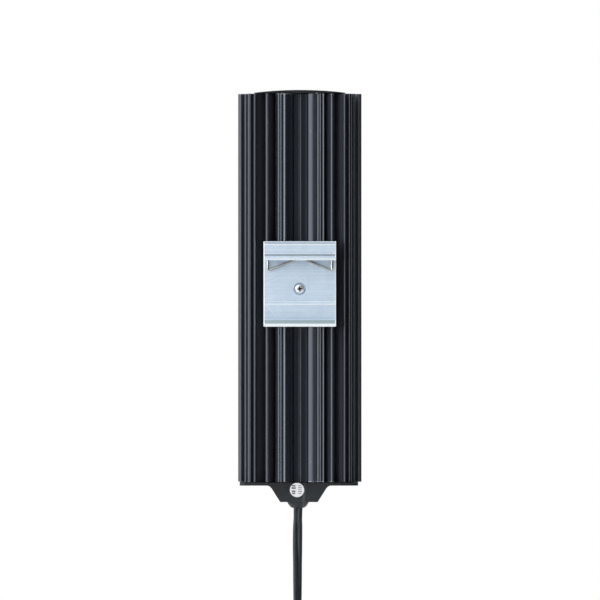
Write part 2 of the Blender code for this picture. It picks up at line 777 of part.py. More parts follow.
def connection_box():
    """The lower moulding: flange, tapering box, round nose, cord posts and cover bosses."""
    surface = black_moulding()
    flange_y = (box_back, box_back + FLANGE_DEPTH)
    flange_outline = rounded_rectangle(
        FLANGE_WIDTH / 2, FLANGE_DEPTH / 2, FLANGE_CORNER, (BOX_SHIFT, (flange_y[0] + flange_y[1]) / 2)
    )
    screw_places = [(x + BOX_SHIFT, y) for x, y in screw_ports()[2:]]
    body = prism("connection_box", flange_outline, flange_under, bottom_z - GAP, along_z, surface)
    shell = prism("box_shell", box_outline(), box_back, box_front, along_y, surface)
    # the shell reaches into the flange so that the two become one moulding
    for vertex in shell.data.vertices:
        if vertex.co.z > flange_under - 1e-6:
            vertex.co.z += FLANGE_THICKNESS / 2
    combine(body, shell, "UNION")
    nose_profile = [
        (0, 0.0),
        (NOSE_END_RADIUS, 0.0),
        (NOSE_END_RADIUS + 0.0008, 0.0006),
        (NOSE_END_RADIUS + 0.0017, 0.0015),
        (NOSE_RADIUS - 0.0004, 0.0026),
        (NOSE_RADIUS, NOSE_LENGTH),
        (NOSE_RADIUS, NOSE_LENGTH + BOX_WALL / 2),
        (0, NOSE_LENGTH + BOX_WALL / 2),
    ]
    nose = turned("box_nose", nose_profile, (cord_x, cord_y, nose_end), "z", surface, 24)
    combine(body, nose, "UNION")
    cavity = prism(
        "box_cavity",
        box_outline(BOX_WALL),
        box_back + BOX_WALL,
        box_front + 0.002,
        along_y,
        surface,
    )
    combine(body, cavity, "DIFFERENCE")
    window = block(
        "box_window",
        (-CHAMBER_WIDTH / 2 + 0.002, axis_y - CHAMBER_DEPTH / 2, flange_under - 0.001),
        (CHAMBER_WIDTH / 2 - 0.002, axis_y + CHAMBER_DEPTH / 2, bottom_z + 0.001),
        surface,
    )
    combine(body, window, "DIFFERENCE")
    bore_radius = cord_radius + GAP
    bore_end = NOSE_LENGTH + 2 * BOX_WALL
    bore_profile = [(0, -0.001), (bore_radius, -0.001), (bore_radius, bore_end), (0, bore_end)]
    bore = turned("nose_bore", bore_profile, (cord_x, cord_y, nose_end), "z", surface, 20)
    combine(body, bore, "DIFFERENCE")
    for side, name in ((-1, "left"), (1, "right")):
        post_z = box_floor + BOX_WALL + CLAMP_RISE + CLAMP_HEIGHT / 2
        post_x = cord_x + side * POST_SPACING / 2
        post_length = cord_y + cord_radius - box_back - BOX_WALL / 2
        post = turned(
            f"clamp_post_{name}",
            [(0, 0), (POST_RADIUS, 0), (POST_RADIUS, post_length), (0, post_length)],
            (post_x, box_back + BOX_WALL / 2, post_z),
            "y",
            surface,
            14,
        )
        combine(body, post, "UNION")
        screw_hole(body, f"post_hole_{name}", (post_x, cord_y + cord_radius, post_z))
        boss = turned(
            f"cover_boss_{name}",
            [(0, 0), (BOSS_RADIUS, 0), (BOSS_RADIUS, BOSS_LENGTH), (0, BOSS_LENGTH)],
            (cover_screw_x(side), box_front - 0.0002 - BOSS_LENGTH, cover_screw_z()),
            "y",
            surface,
            14,
        )
        combine(body, boss, "UNION")
        screw_hole(body, f"boss_hole_{name}", (cover_screw_x(side), box_front, cover_screw_z()))
    for number, place in enumerate(screw_places, 1):
        hole = countersink(f"box_hole_{number}", place, flange_under, "z", 0.004)
        combine(body, hole, "DIFFERENCE")
    for name, place in zip(("left", "right"), screw_ports()[2:]):
        centre = (place[0] + BOX_SHIFT / 2, place[1])
        countersunk_screw(f"box_screw_{name}", centre, flange_under, "z", BOX_SCREW_LENGTH, steel())
    return body


def cover_screw_x(side):
    return BOX_SHIFT + side * COVER_SCREW_SPACING / 2


def cover_screw_z():
    return flange_under - COVER_SCREW_DROP


def screw_hole(body, name, mouth):
    """A blind hole for a small screw, running back from its mouth."""
    depth = SMALL_SCREW_LENGTH + 0.001
    radius = SMALL_SCREW_RADIUS + THREAD_GAP
    cutter = turned(
        name, [(0, -0.001), (radius, -0.001), (radius, depth), (0, depth)], mouth, "-y", black_moulding(), 12
    )
    combine(body, cutter, "DIFFERENCE")


def pan_screw(name, seat, axis, length, surface):
    """A small pan-head screw: the head stands above its seat and the shank runs below it."""
    profile = [
        (0, -SMALL_HEAD_HEIGHT),
        (SMALL_HEAD_RADIUS * 0.75, -SMALL_HEAD_HEIGHT),
        (SMALL_HEAD_RADIUS, -SMALL_HEAD_HEIGHT * 0.5),
        (SMALL_HEAD_RADIUS, 0.0),
        (SMALL_SCREW_RADIUS, 0.0),
        (SMALL_SCREW_RADIUS, length - SMALL_SCREW_RADIUS),
        (0, length),
    ]
    return turned(name, profile, seat, axis, surface, 14)


def box_cover():
    """The cover of the connection box with its two screws."""
    low = box_front + GAP
    radius = SMALL_SCREW_RADIUS + THREAD_GAP
    holes = [circle(radius, (cover_screw_x(side), cover_screw_z()), 12) for side in (-1, 1)]
    outline = box_outline(0.0, GAP)
    cover = prism("box_cover", outline, low, low + COVER_THICKNESS, along_y, black_moulding(), holes)
    for side, name in ((-1, "left"), (1, "right")):
        seat = (cover_screw_x(side), low + COVER_THICKNESS + GAP, cover_screw_z())
        pan_screw(f"cover_screw_{name}", seat, "-y", SMALL_SCREW_LENGTH, steel())
    return cover


def cord_clamp():
    """A bar that holds the sheath against the box's back wall, with two screws."""
    low_z = box_floor + BOX_WALL + CLAMP_RISE
    seat_y = cord_y + cord_radius + GAP
    half = POST_SPACING / 2 + POST_RADIUS
    middle = low_z + CLAMP_HEIGHT / 2
    radius = SMALL_SCREW_RADIUS + THREAD_GAP
    holes = [circle(radius, (cord_x + side * POST_SPACING / 2, middle), 12) for side in (-1, 1)]
    outline = rounded_rectangle(half, CLAMP_HEIGHT / 2, 0.0008, (cord_x, middle), 3)
    prism("cord_clamp", outline, seat_y, seat_y + CLAMP_THICKNESS, along_y, black_moulding(), holes)
    for side, name in ((-1, "left"), (1, "right")):
        seat = (cord_x + side * POST_SPACING / 2, seat_y + CLAMP_THICKNESS + GAP, middle)
        pan_screw(f"clamp_screw_{name}", seat, "-y", SMALL_SCREW_LENGTH, steel())


def terminal_block():
    """A two-pole block; leads enter from above, the cord's cores from behind, screws face front."""
    low_z = box_floor + BOX_WALL + GAP
    front = box_front - BLOCK_BEHIND_COVER
    back = front - BLOCK_DEPTH
    body = block(
        "terminal_block",
        (BOX_SHIFT - BLOCK_WIDTH / 2, back, low_z),
        (BOX_SHIFT + BLOCK_WIDTH / 2, front, low_z + BLOCK_HEIGHT),
        white_ceramic(),
    )
    wire_radius = LEAD_DIAMETER / 2 + GAP
    core_z = core_height()
    screws = []
    for side in (-1, 1):
        x = BOX_SHIFT + side * LEAD_SPACING / 2
        top = turned(
            f"lead_hole_{side}",
            [(0, -0.001), (wire_radius, -0.001), (wire_radius, WIRE_DEPTH), (0, WIRE_DEPTH)],
            (x, (back + front) / 2, low_z + BLOCK_HEIGHT),
            "-z",
            white_ceramic(),
            12,
        )
        combine(body, top, "DIFFERENCE")
        rear = turned(
            f"core_hole_{side}",
            [(0, -0.001), (wire_radius, -0.001), (wire_radius, WIRE_DEPTH / 2), (0, WIRE_DEPTH / 2)],
            (x, back, core_z),
            "y",
            white_ceramic(),
            12,
        )
        combine(body, rear, "DIFFERENCE")
        screws.append((x, front, low_z + BLOCK_HEIGHT / 2))
    for name, place in zip(("left", "right"), screws):
        well_radius = SMALL_HEAD_RADIUS + GAP
        well = turned(
            f"terminal_well_{name}",
            [(0, -0.001), (well_radius, -0.001), (well_radius, 0.0014), (0, 0.0014)],
            place,
            "-y",
            white_ceramic(),
            14,
        )
        combine(body, well, "DIFFERENCE")
        head = [(0, 0), (SMALL_HEAD_RADIUS, 0), (SMALL_HEAD_RADIUS, 0.0010), (0, 0.0010)]
        turned(f"terminal_screw_{name}", head, (place[0], place[1] - 0.0001, place[2]), "-y", steel(), 14)


def core_height():
    """Height of the cores where they run forward over the clamp."""
    return box_floor + BOX_WALL + CLAMP_RISE + CLAMP_HEIGHT + GAP + CORE_DIAMETER / 2


def cord_cores():
    """The two cores, from the end of the sheath forward into the terminal block."""
    run_z = core_height()
    block_back = box_front - BLOCK_BEHIND_COVER - BLOCK_DEPTH
    for number, side, tone in ((1, -1, "brown"), (2, 1, "blue")):
        start_x = cord_x + side * CORE_SPACING / 2
        end_x = BOX_SHIFT + side * LEAD_SPACING / 2
        start = (start_x, cord_y, cord_top + GAP)
        corner = (start_x, cord_y, run_z)
        beyond = (start_x, cord_y + 0.0030, run_z)
        points = [bezier(start, corner, beyond, k / 6) for k in range(6)]
        end = (end_x, block_back - 0.0005, run_z)
        ease_out = (start_x, cord_y + 0.0050, run_z)
        ease_in = (end_x, block_back - 0.0020, run_z)
        points += [cubic(beyond, ease_out, ease_in, end, k / 6) for k in range(7)]
        points.append((end_x, block_back + WIRE_DEPTH / 2 - GAP, run_z))
        wire(f"cord_core_{number}", points, CORE_DIAMETER / 2, core_sheath(tone))


def clip_outline():
    """The clip's section as (y, z): plate, upper hook with its slot, lower hook with its catch."""
    z0 = screw_z
    rear = CLIP_PLATE
    upper = -UPPER_HOOK_REACH
    top = z0 + CLIP_TOP
    edge = z0 + UPPER_HOOK_EDGE
    roof = top - UPPER_HOOK_ROOF
    seat = z0 + LOWER_HOOK_SEAT
    bottom = z0 + CLIP_BOTTOM
    half_groove = GROOVE_WIDTH / 2
    front_groove = top - FRONT_GROOVE_DROP
    bead = edge + HOOK_BEAD_HEIGHT
    points = [(rear, bottom), (rear, top), (upper + 0.0003, top), (upper, top - 0.0003)]
    points += notch(upper, front_groove, half_groove, GROOVE_DEPTH)
    points += notch(upper, bead, half_groove, GROOVE_DEPTH)
    points += [
        (upper - HOOK_BEAD, bead - half_groove - 0.0002),
        (upper - HOOK_BEAD, edge + 0.0003),
        (upper, edge),
        (-HOOK_SLOT + 0.0002, edge),
        (-HOOK_SLOT, edge + 0.0003),
        (-HOOK_SLOT, roof - 0.0004),
        (-HOOK_SLOT + 0.0004, roof),
        (-0.0003, roof),
        (0.0, roof - 0.0003),
    ]
    for height in SCRIBED_LINES:
        points += notch(0.0, z0 + height, half_groove, GROOVE_DEPTH)
    catch = seat + LOWER_HOOK_CATCH
    lower = -LOWER_HOOK_REACH
    points += [
        (0.0, seat),
        (-LOWER_HOOK_SLOT, seat),
        (-LOWER_HOOK_SLOT, catch - 0.0003),
        (-LOWER_HOOK_SLOT - 0.0004, catch),
        (lower, bottom + LOWER_HOOK_FACE),
        (lower, bottom + 0.0003),
        (lower + 0.0003, bottom),
    ]
    return points


def notch(face, height, half, depth):
    """A small groove across a face that looks towards the rail, from top to bottom."""
    return [(face, height + half), (face + depth, height), (face, height - half)]


def rail_clip():
    """The clip with its countersunk hole."""
    clip = prism("rail_clip", clip_outline(), -CLIP_WIDTH / 2, CLIP_WIDTH / 2, along_x, clip_aluminium())
    profile = [
        (0, -0.001),
        (DIMPLE_RADIUS, -0.001),
        (DIMPLE_RADIUS, 0.0),
        (DIMPLE_FLOOR_RADIUS, DIMPLE_DEPTH),
        (CLIP_HOLE_RADIUS, DIMPLE_DEPTH),
        (CLIP_HOLE_RADIUS, CLIP_PLATE + 0.001),
        (0, CLIP_PLATE + 0.001),
    ]
    hole = turned("clip_hole", profile, (0.0, 0.0, screw_z), "y", clip_aluminium(), 32)
    combine(clip, hole, "DIFFERENCE")
    return clip


def clip_screw():
    """The screw that holds the clip, seated in the clip's countersink."""
    seat = DIMPLE_DEPTH - GAP
    profile = [
        (0, -CLIP_SCREW_HEAD_HEIGHT),
        (CLIP_SCREW_HEAD_RADIUS * 0.62, -CLIP_SCREW_HEAD_HEIGHT * 0.95),
        (CLIP_SCREW_HEAD_RADIUS * 0.90, -CLIP_SCREW_HEAD_HEIGHT * 0.68),
        (CLIP_SCREW_HEAD_RADIUS, -CLIP_SCREW_HEAD_HEIGHT * 0.35),
        (CLIP_SCREW_HEAD_RADIUS, 0.0),
        (CLIP_SCREW_RADIUS, 0.0),
        (CLIP_SCREW_RADIUS, CLIP_SCREW_LENGTH - CLIP_SCREW_RADIUS),
        (0, CLIP_SCREW_LENGTH),
    ]
    return turned("clip_screw", profile, (0.0, seat, screw_z), "y", steel(), 24)


def rounded_path(corners, radius, steps=4):
    """A path through corners, each one rounded off with a curve that starts a radius before it."""
    points = [corners[0]]
    for before, corner, after in zip(corners, corners[1:], corners[2:]):
        entry = step_towards(corner, before, radius)
        leave = step_towards(corner, after, radius)
        points += [bezier(entry, corner, leave, k / steps) for k in range(steps + 1)]
    return points + [corners[-1]]


def step_towards(place, goal, distance):
    length = math.dist(place, goal)
    return tuple(a + (b - a) * distance / length for a, b in zip(place, goal))


def clip_spring():
    """The spring wire: a bar under the hook's roof, two legs, and two arms bent back up."""
    y = -GAP - SPRING_DIAMETER / 2
    bar_z = screw_z + CLIP_TOP - UPPER_HOOK_ROOF - GAP - SPRING_DIAMETER / 2
    corner_z = screw_z + SPRING_CORNER_HEIGHT
    arm_z = screw_z + UPPER_HOOK_EDGE + SPRING_END_RISE
    corners = [
        (-SPRING_INNER_END, y, arm_z),
        (-SPRING_LEG, y, corner_z),
        (-SPRING_LEG, y, bar_z),
        (SPRING_LEG, y, bar_z),
        (SPRING_LEG, y, corner_z),
        (SPRING_INNER_END, y, arm_z),
    ]
    return wire("clip_spring", rounded_path(corners, SPRING_BEND), SPRING_DIAMETER / 2, spring_steel())


def inspection_sticker():
    """A thin round sticker on the back of the connection box, just under the extrusion."""
    radius = STICKER_DIAMETER / 2
    face = box_back - STICKER_GAP
    centre = (STICKER_SHIFT, face, bottom_z - GAP - 0.0001 - radius)
    profile = [(0, 0), (radius, 0), (radius, STICKER_THICKNESS), (0, STICKER_THICKNESS)]
    return turned("inspection_sticker", profile, centre, "-y", sticker_white(), 40)


def hank_middle():
    """Centre of the hank across and along its length, and the height of its upper folds."""
    x = cord_x + CORD_SWAY[-1] + FOLD_RADIUS
    upper = nose_end - CORD_DROP - NECK_LENGTH
    return x, upper - RUN_LENGTH / 2, upper


def run_offset(z):
    """How far a run of the hank lies from its centre line, drawn in at the tie."""
    middle = hank_middle()[1]
    share = min(1.0, abs(z - middle) / (RUN_LENGTH / 2))
    return FOLD_RADIUS - WAIST_PINCH * (1 + math.cos(math.pi * share)) / 2


def hank_outline():
    """The hank seen from behind: two runs drawn in at the tie, two round folds, neck and tail."""
    centre, middle, upper = hank_middle()
    lower = upper - RUN_LENGTH
    left_x = centre - FOLD_RADIUS
    reach = FOLD_RADIUS + cord_radius
    neck = upper + NECK_LENGTH - GAP
    tail = lower - TAIL_LENGTH
    steps = 12
    points = [(left_x - cord_radius, neck)]
    for k in range(steps + 1):
        z = upper - RUN_LENGTH * k / steps
        points.append((centre - run_offset(z) - cord_radius, z))
    points += [(left_x - cord_radius, tail), (left_x + cord_radius, tail)]
    join = math.acos((centre - left_x - cord_radius) / reach)
    for k in range(steps + 1):
        angle = (math.pi + join) + (math.pi - join) * k / steps
        points.append((centre + reach * math.cos(angle), lower + reach * math.sin(angle)))
    for k in range(1, steps):
        z = lower + RUN_LENGTH * k / steps
        points.append((centre + run_offset(z) + cord_radius, z))
    for k in range(steps + 1):
        angle = (math.pi - join) * k / steps
        points.append((centre + reach * math.cos(angle), upper + reach * math.sin(angle)))
    points.append((left_x + cord_radius, neck))
    return points


def cord_and_hank():
    """The hanging cord, its hank with the tie, and the two cores with ferrules at its far end."""
    surface = cord_sheath()
    neck = nose_end - CORD_DROP
    route = [(cord_x, cord_y, cord_top)]
    count = len(CORD_SWAY)
    for k, sway in enumerate(CORD_SWAY):
        route.append((cord_x + sway, cord_y, nose_end - CORD_DROP * k / (count - 1)))
    wire("cord", smooth_route(route, 2), cord_radius, surface)
    low_y = cord_y - cord_radius
    high_y = low_y + CORD_WIDTH + LAYER_STEP
    prism("cord_hank", hank_outline(), low_y, high_y, along_y, surface)
    centre, middle, upper = hank_middle()
    half = run_offset(middle) + cord_radius + GAP + WAIST_SLACK
    half_depth = (high_y - low_y) / 2 + GAP
    inner = rectangle(centre - half, centre + half, low_y - GAP, high_y + GAP)
    outer = rounded_rectangle(
        half + TIE_THICKNESS, half_depth + TIE_THICKNESS, 0.0010, (centre, (low_y + high_y) / 2)
    )
    tie_low = middle - TIE_WIDTH / 2
    prism("hank_tie", outer, tie_low, tie_low + TIE_WIDTH, along_z, black_moulding(), [inner])
    tail = upper - RUN_LENGTH - TAIL_LENGTH
    end_y = cord_y + LAYER_STEP
    for number, side, tone in ((1, -1, "brown"), (2, 1, "blue")):
        x = hank_middle()[0] - FOLD_RADIUS + side * CORE_SPACING / 2
        spread = side * 0.0010
        start = (x, end_y, tail - GAP)
        end = (x + spread, end_y, tail - GAP - CORE_END_LENGTH)
        middle_point = (x + spread * 0.3, end_y, tail - GAP - CORE_END_LENGTH / 2)
        wire(f"core_end_{number}", [start, middle_point, end], CORE_DIAMETER / 2, core_sheath(tone))
        collar_top = end[2] - GAP
        profile = [
            (0, 0),
            (FERRULE_COLLAR_RADIUS, 0),
            (FERRULE_COLLAR_RADIUS, FERRULE_COLLAR_LENGTH * 0.8),
            (FERRULE_PIN_RADIUS, FERRULE_COLLAR_LENGTH),
            (FERRULE_PIN_RADIUS, FERRULE_COLLAR_LENGTH + FERRULE_PIN_LENGTH),
            (0, FERRULE_COLLAR_LENGTH + FERRULE_PIN_LENGTH),
        ]
        turned(f"ferrule_{number}", profile, (end[0], end_y, collar_top), "-z", steel(), 12)
    return neck


def smooth_route(route, steps):
    """A smooth curve through the route's points, with a number of steps between each two."""
    padded = [route[0]] + list(route) + [route[-1]]
    points = []
    for before, here, following, after in zip(padded, padded[1:], padded[2:], padded[3:]):
        for k in range(steps):
            t = k / steps
            point = []
            for p, q, r, s in zip(before, here, following, after):
                bend = (r - p) * t + (2 * p - 5 * q + 4 * r - s) * t**2 + (3 * q - p - 3 * r + s) * t**3
                point.append(q + 0.5 * bend)
            points.append(tuple(point))
    return points + [tuple(route[-1])]


def build():
    clear_scene()
    heatsink_extrusion()
    top_cap()
    tab_depths = heating_stack()
    leads = [(side * TAB_SPACING / 2, y) for side, y in zip((-1, 1), tab_depths)]
    insulators(leads)
    terminals_and_leads(tab_depths)
    connection_box()
    box_cover()
    cord_clamp()
    terminal_block()
    cord_cores()
    rail_clip()
    clip_screw()
    clip_spring()
    inspection_sticker()
    cord_and_hank()


build()
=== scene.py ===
import json
import math

import bmesh
import bpy
import numpy as np
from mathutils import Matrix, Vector, geometry

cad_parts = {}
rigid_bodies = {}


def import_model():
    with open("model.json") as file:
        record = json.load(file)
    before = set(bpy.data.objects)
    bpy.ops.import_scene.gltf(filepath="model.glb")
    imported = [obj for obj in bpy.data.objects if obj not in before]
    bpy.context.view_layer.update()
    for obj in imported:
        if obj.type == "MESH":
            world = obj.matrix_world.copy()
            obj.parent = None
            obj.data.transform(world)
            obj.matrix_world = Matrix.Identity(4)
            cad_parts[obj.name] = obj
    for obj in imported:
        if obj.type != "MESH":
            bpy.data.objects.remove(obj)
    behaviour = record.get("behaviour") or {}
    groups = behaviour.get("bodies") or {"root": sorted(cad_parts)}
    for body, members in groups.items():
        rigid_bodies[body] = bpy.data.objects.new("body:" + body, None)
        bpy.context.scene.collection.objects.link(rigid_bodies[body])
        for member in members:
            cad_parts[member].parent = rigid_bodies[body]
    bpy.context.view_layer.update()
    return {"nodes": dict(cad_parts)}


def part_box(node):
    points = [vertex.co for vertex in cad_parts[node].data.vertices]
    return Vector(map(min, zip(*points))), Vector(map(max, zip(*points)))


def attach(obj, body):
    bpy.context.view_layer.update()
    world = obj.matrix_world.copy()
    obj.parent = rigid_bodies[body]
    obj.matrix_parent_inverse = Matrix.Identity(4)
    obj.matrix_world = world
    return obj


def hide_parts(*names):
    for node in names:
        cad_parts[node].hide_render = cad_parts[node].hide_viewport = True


for startItem in list(bpy.data.objects):
    bpy.data.objects.remove(startItem, do_unlink=True)

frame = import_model()
scene = bpy.context.scene
nodes = frame["nodes"]
print("stage: frame loaded,", len(nodes), "nodes")


# Camera: straight on from behind the heater, far off with a long lens, so that near and far
# parts keep one scale
cameraView = {
    "aim": (0.0001, 0.0028, 0.0067),
    "distance": 8.0,
    "pictureWidth": 0.3396,  # what the picture spans at the aim, in metres
    "sensor": 36.0,
    "clip": (0.05, 40.0),
}


def addCamera(view):
    lens = bpy.data.cameras.new("studioCamera")
    lens.sensor_width = view["sensor"]
    lens.lens = view["sensor"] * view["distance"] / view["pictureWidth"]
    lens.clip_start, lens.clip_end = view["clip"]
    camera = bpy.data.objects.new("studioCamera", lens)
    scene.collection.objects.link(camera)
    aimX, aimY, aimZ = view["aim"]
    camera.location = (aimX, aimY - view["distance"], aimZ)
    camera.rotation_euler = (math.pi / 2, 0.0, 0.0)
    scene.camera = camera


addCamera(cameraView)


# Mesh helpers
def meshFromArrays(name, verts, faces, smoothAngle=35.0):
    # points and faces go straight into a mesh, which is shaded smooth up to an angle
    mesh = bpy.data.meshes.new(name)
    mesh.from_pydata(verts.tolist(), [], faces)
    mesh.validate()
    mesh.shade_smooth()
    mesh.set_sharp_from_angle(angle=math.radians(smoothAngle))
    piece = bpy.data.objects.new(name, mesh)
    scene.collection.objects.link(piece)
    return piece


def gridFaces(rows, columns, start=0):
    # quads between neighbouring rings of a grid whose columns close on themselves
    i, j = np.meshgrid(np.arange(rows - 1), np.arange(columns), indexing="ij")
    k = (j + 1) % columns
    quads = np.stack([i * columns + j, i * columns + k, (i + 1) * columns + k, (i + 1) * columns + j], -1)
    return quads.reshape(-1, 4) + start


def fixNormals(piece):
    work = bmesh.new()
    work.from_mesh(piece.data)
    bmesh.ops.recalc_face_normals(work, faces=work.faces)
    work.to_mesh(piece.data)
    work.free()


def closedTube(name, rings, smoothAngle=35.0):
    # rings is rows x columns x 3; each end is closed by a fan about its ring's mean point
    rows, columns = rings.shape[:2]
    verts = rings.reshape(-1, 3)
    ends = np.stack([rings[0].mean(0), rings[-1].mean(0)])
    verts = np.concatenate([verts, ends])
    quads = gridFaces(rows, columns)
    j = np.arange(columns)
    k = (j + 1) % columns
    first = rows * columns
    low = np.stack([np.full(columns, first), k, j], -1)
    high = np.stack([np.full(columns, first + 1), (rows - 1) * columns + j, (rows - 1) * columns + k], -1)
    piece = meshFromArrays(name, verts, quads.tolist() + low.tolist() + high.tolist(), smoothAngle)
    fixNormals(piece)
    return piece


meshCare = {"merge": 2e-6, "flat": 0.5, "edge": 25.0, "segments": 2}


def refined(nodeName, pieceName, width):
    # a copy of a node's mesh with its doubles merged and its flat faces joined; a bevel rounds
    # every edge sharper than the angle
    work = bmesh.new()
    work.from_mesh(nodes[nodeName].data)
    bmesh.ops.remove_doubles(work, verts=work.verts, dist=meshCare["merge"])
    flat, edge = math.radians(meshCare["flat"]), math.radians(meshCare["edge"])
    bmesh.ops.dissolve_limit(work, angle_limit=flat, verts=work.verts, edges=work.edges)
    bmesh.ops.recalc_face_normals(work, faces=work.faces)
    mesh = bpy.data.meshes.new(pieceName)
    work.to_mesh(mesh)
    work.free()
    mesh.shade_smooth()
    mesh.set_sharp_from_angle(angle=edge)
    piece = bpy.data.objects.new(pieceName, mesh)
    scene.collection.objects.link(piece)
    bevel = piece.modifiers.new("roundedEdges", "BEVEL")
    bevel.width = width
    bevel.segments = meshCare["segments"]
    bevel.limit_method = "ANGLE"
    bevel.angle_limit = edge
    even = piece.modifiers.new("evenShading", "WEIGHTED_NORMAL")
    even.weight = 100
    even.keep_sharp = True
    return piece


def place(piece, slotName, material, *replaced):
    piece.data.materials.clear()
    piece.data.materials.append(material)
    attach(piece, "root")
    if replaced:
        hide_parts(*replaced)
    return piece


# Shader helpers
def startMaterial(name):
    material = bpy.data.materials.new(name)
    material.use_nodes = True
    tree = material.node_tree
    coords = tree.nodes.new("ShaderNodeTexCoord")
    return material, tree, tree.nodes["Principled BSDF"], coords.outputs["Object"]


def link(tree, source, target):
    tree.links.new(source, target)


def setSocket(tree, socket, value):
    # another node's output is linked, and a number or colour is set
    if isinstance(value, bpy.types.NodeSocket):
        link(tree, value, socket)
    elif isinstance(value, tuple):
        socket.default_value = (*value, 1.0)
    else:
        socket.default_value = value


def mathNode(tree, operation, *values, clamp=False):
    node = tree.nodes.new("ShaderNodeMath")
    node.operation = operation
    node.use_clamp = clamp
    for socket, value in zip(node.inputs, values):
        setSocket(tree, socket, value)
    return node.outputs[0]


def times(tree, a, b):
    return mathNode(tree, "MULTIPLY", a, b)


def distanceFrom(tree, value, middle):
    return mathNode(tree, "ABSOLUTE", mathNode(tree, "SUBTRACT", value, middle))


def mixColour(tree, amount, first, second):
    node = tree.nodes.new("ShaderNodeMix")
    node.data_type = "RGBA"
    for index, value in ((0, amount), (6, first), (7, second)):
        setSocket(tree, node.inputs[index], value)
    return node.outputs[2]


def rangeNode(tree, value, span, low=0.0, high=1.0):
    node = tree.nodes.new("ShaderNodeMapRange")
    limits = (("Value", value), ("From Min", span[0]), ("From Max", span[1]), ("To Min", low), ("To Max", high))
    for label, number in limits:
        setSocket(tree, node.inputs[label], number)
    return node.outputs["Result"]


def noiseNode(tree, vector, scale, detail=3.0, roughness=0.5):
    node = tree.nodes.new("ShaderNodeTexNoise")
    for label, value in (("Vector", vector), ("Scale", scale), ("Detail", detail), ("Roughness", roughness)):
        setSocket(tree, node.inputs[label], value)
    return node.outputs["Fac"]


def stretched(tree, vector, scale):
    node = tree.nodes.new("ShaderNodeMapping")
    link(tree, vector, node.inputs["Vector"])
    node.inputs["Scale"].default_value = scale
    return node.outputs["Vector"]


def attributeNode(tree, name):
    node = tree.nodes.new("ShaderNodeAttribute")
    node.attribute_name = name
    return node.outputs["Fac"]


def axesOf(tree, vector):
    node = tree.nodes.new("ShaderNodeSeparateXYZ")
    link(tree, vector, node.inputs[0])
    return node.outputs


def bumpNode(tree, height, strength, distance, normal=None):
    node = tree.nodes.new("ShaderNodeBump")
    for label, value in (("Strength", strength), ("Distance", distance), ("Height", height)):
        setSocket(tree, node.inputs[label], value)
    if normal is not None:
        link(tree, normal, node.inputs["Normal"])
    return node.outputs["Normal"]


def newGroup(name, inputs, outputs):
    group = bpy.data.node_groups.new(name, "ShaderNodeTree")
    group.interface.new_socket("Vector", in_out="INPUT", socket_type="NodeSocketVector")
    for label, value in inputs.items():
        socket = group.interface.new_socket(label, in_out="INPUT", socket_type="NodeSocketFloat")
        socket.default_value = value
    for label in outputs:
        group.interface.new_socket(label, in_out="OUTPUT", socket_type="NodeSocketFloat")
    return group, group.nodes.new("NodeGroupInput").outputs, group.nodes.new("NodeGroupOutput").inputs


def makeGrainGroup():
    # two octaves of noise, coarse for blotches and fine for the skin
    group, given, result = newGroup("surfaceGrain", {"Scale": 500.0, "Blotch": 0.08}, ("Fine", "Coarse"))
    link(group, noiseNode(group, given["Vector"], given["Scale"], 4.0), result["Fine"])
    coarseScale = times(group, given["Scale"], given["Blotch"])
    link(group, noiseNode(group, given["Vector"], coarseScale, 2.0), result["Coarse"])
    return group


def makeDustGroup():
    # small specks: cells whose distance to their point is short, thinned out by the cell's own colour
    group, given, result = newGroup("dustSpecks", {"Scale": 300.0, "Amount": 0.1}, ("Mask",))
    cells = group.nodes.new("ShaderNodeTexVoronoi")
    link(group, given["Vector"], cells.inputs["Vector"])
    link(group, given["Scale"], cells.inputs["Scale"])
    near = rangeNode(group, cells.outputs["Distance"], (0.05, 0.16), 1.0, 0.0)
    split = group.nodes.new("ShaderNodeSeparateColor")
    link(group, cells.outputs["Color"], split.inputs["Color"])
    chosen = mathNode(group, "LESS_THAN", split.outputs["Red"], given["Amount"])
    link(group, times(group, near, chosen), result["Mask"])
    return group


def makeLineGroup():
    # long fine lines left by the die or by brushing: noise on coordinates drawn out along one axis
    group, given, result = newGroup("drawnLines", {"Fine": 4.0}, ("Height", "Shade"))
    broad = noiseNode(group, given["Vector"], 1.0, 2.0)
    fine = noiseNode(group, given["Vector"], given["Fine"], 3.0)
    link(group, mathNode(group, "ADD", times(group, broad, 0.5), fine), result["Height"])
    link(group, broad, result["Shade"])
    return group


grainGroup = makeGrainGroup()
dustGroup = makeDustGroup()
lineGroup = makeLineGroup()


def useGroup(tree, group, vector, **values):
    node = tree.nodes.new("ShaderNodeGroup")
    node.node_tree = group
    link(tree, vector, node.inputs["Vector"])
    for label, value in values.items():
        node.inputs[label].default_value = value
    return node.outputs


# Spans of a noise that become masks: soft or hard about its middle, and the low one for fine skins
softNoise = (0.30, 0.70)
hardNoise = (0.35, 0.65)
skinNoise = (0.25, 0.60)


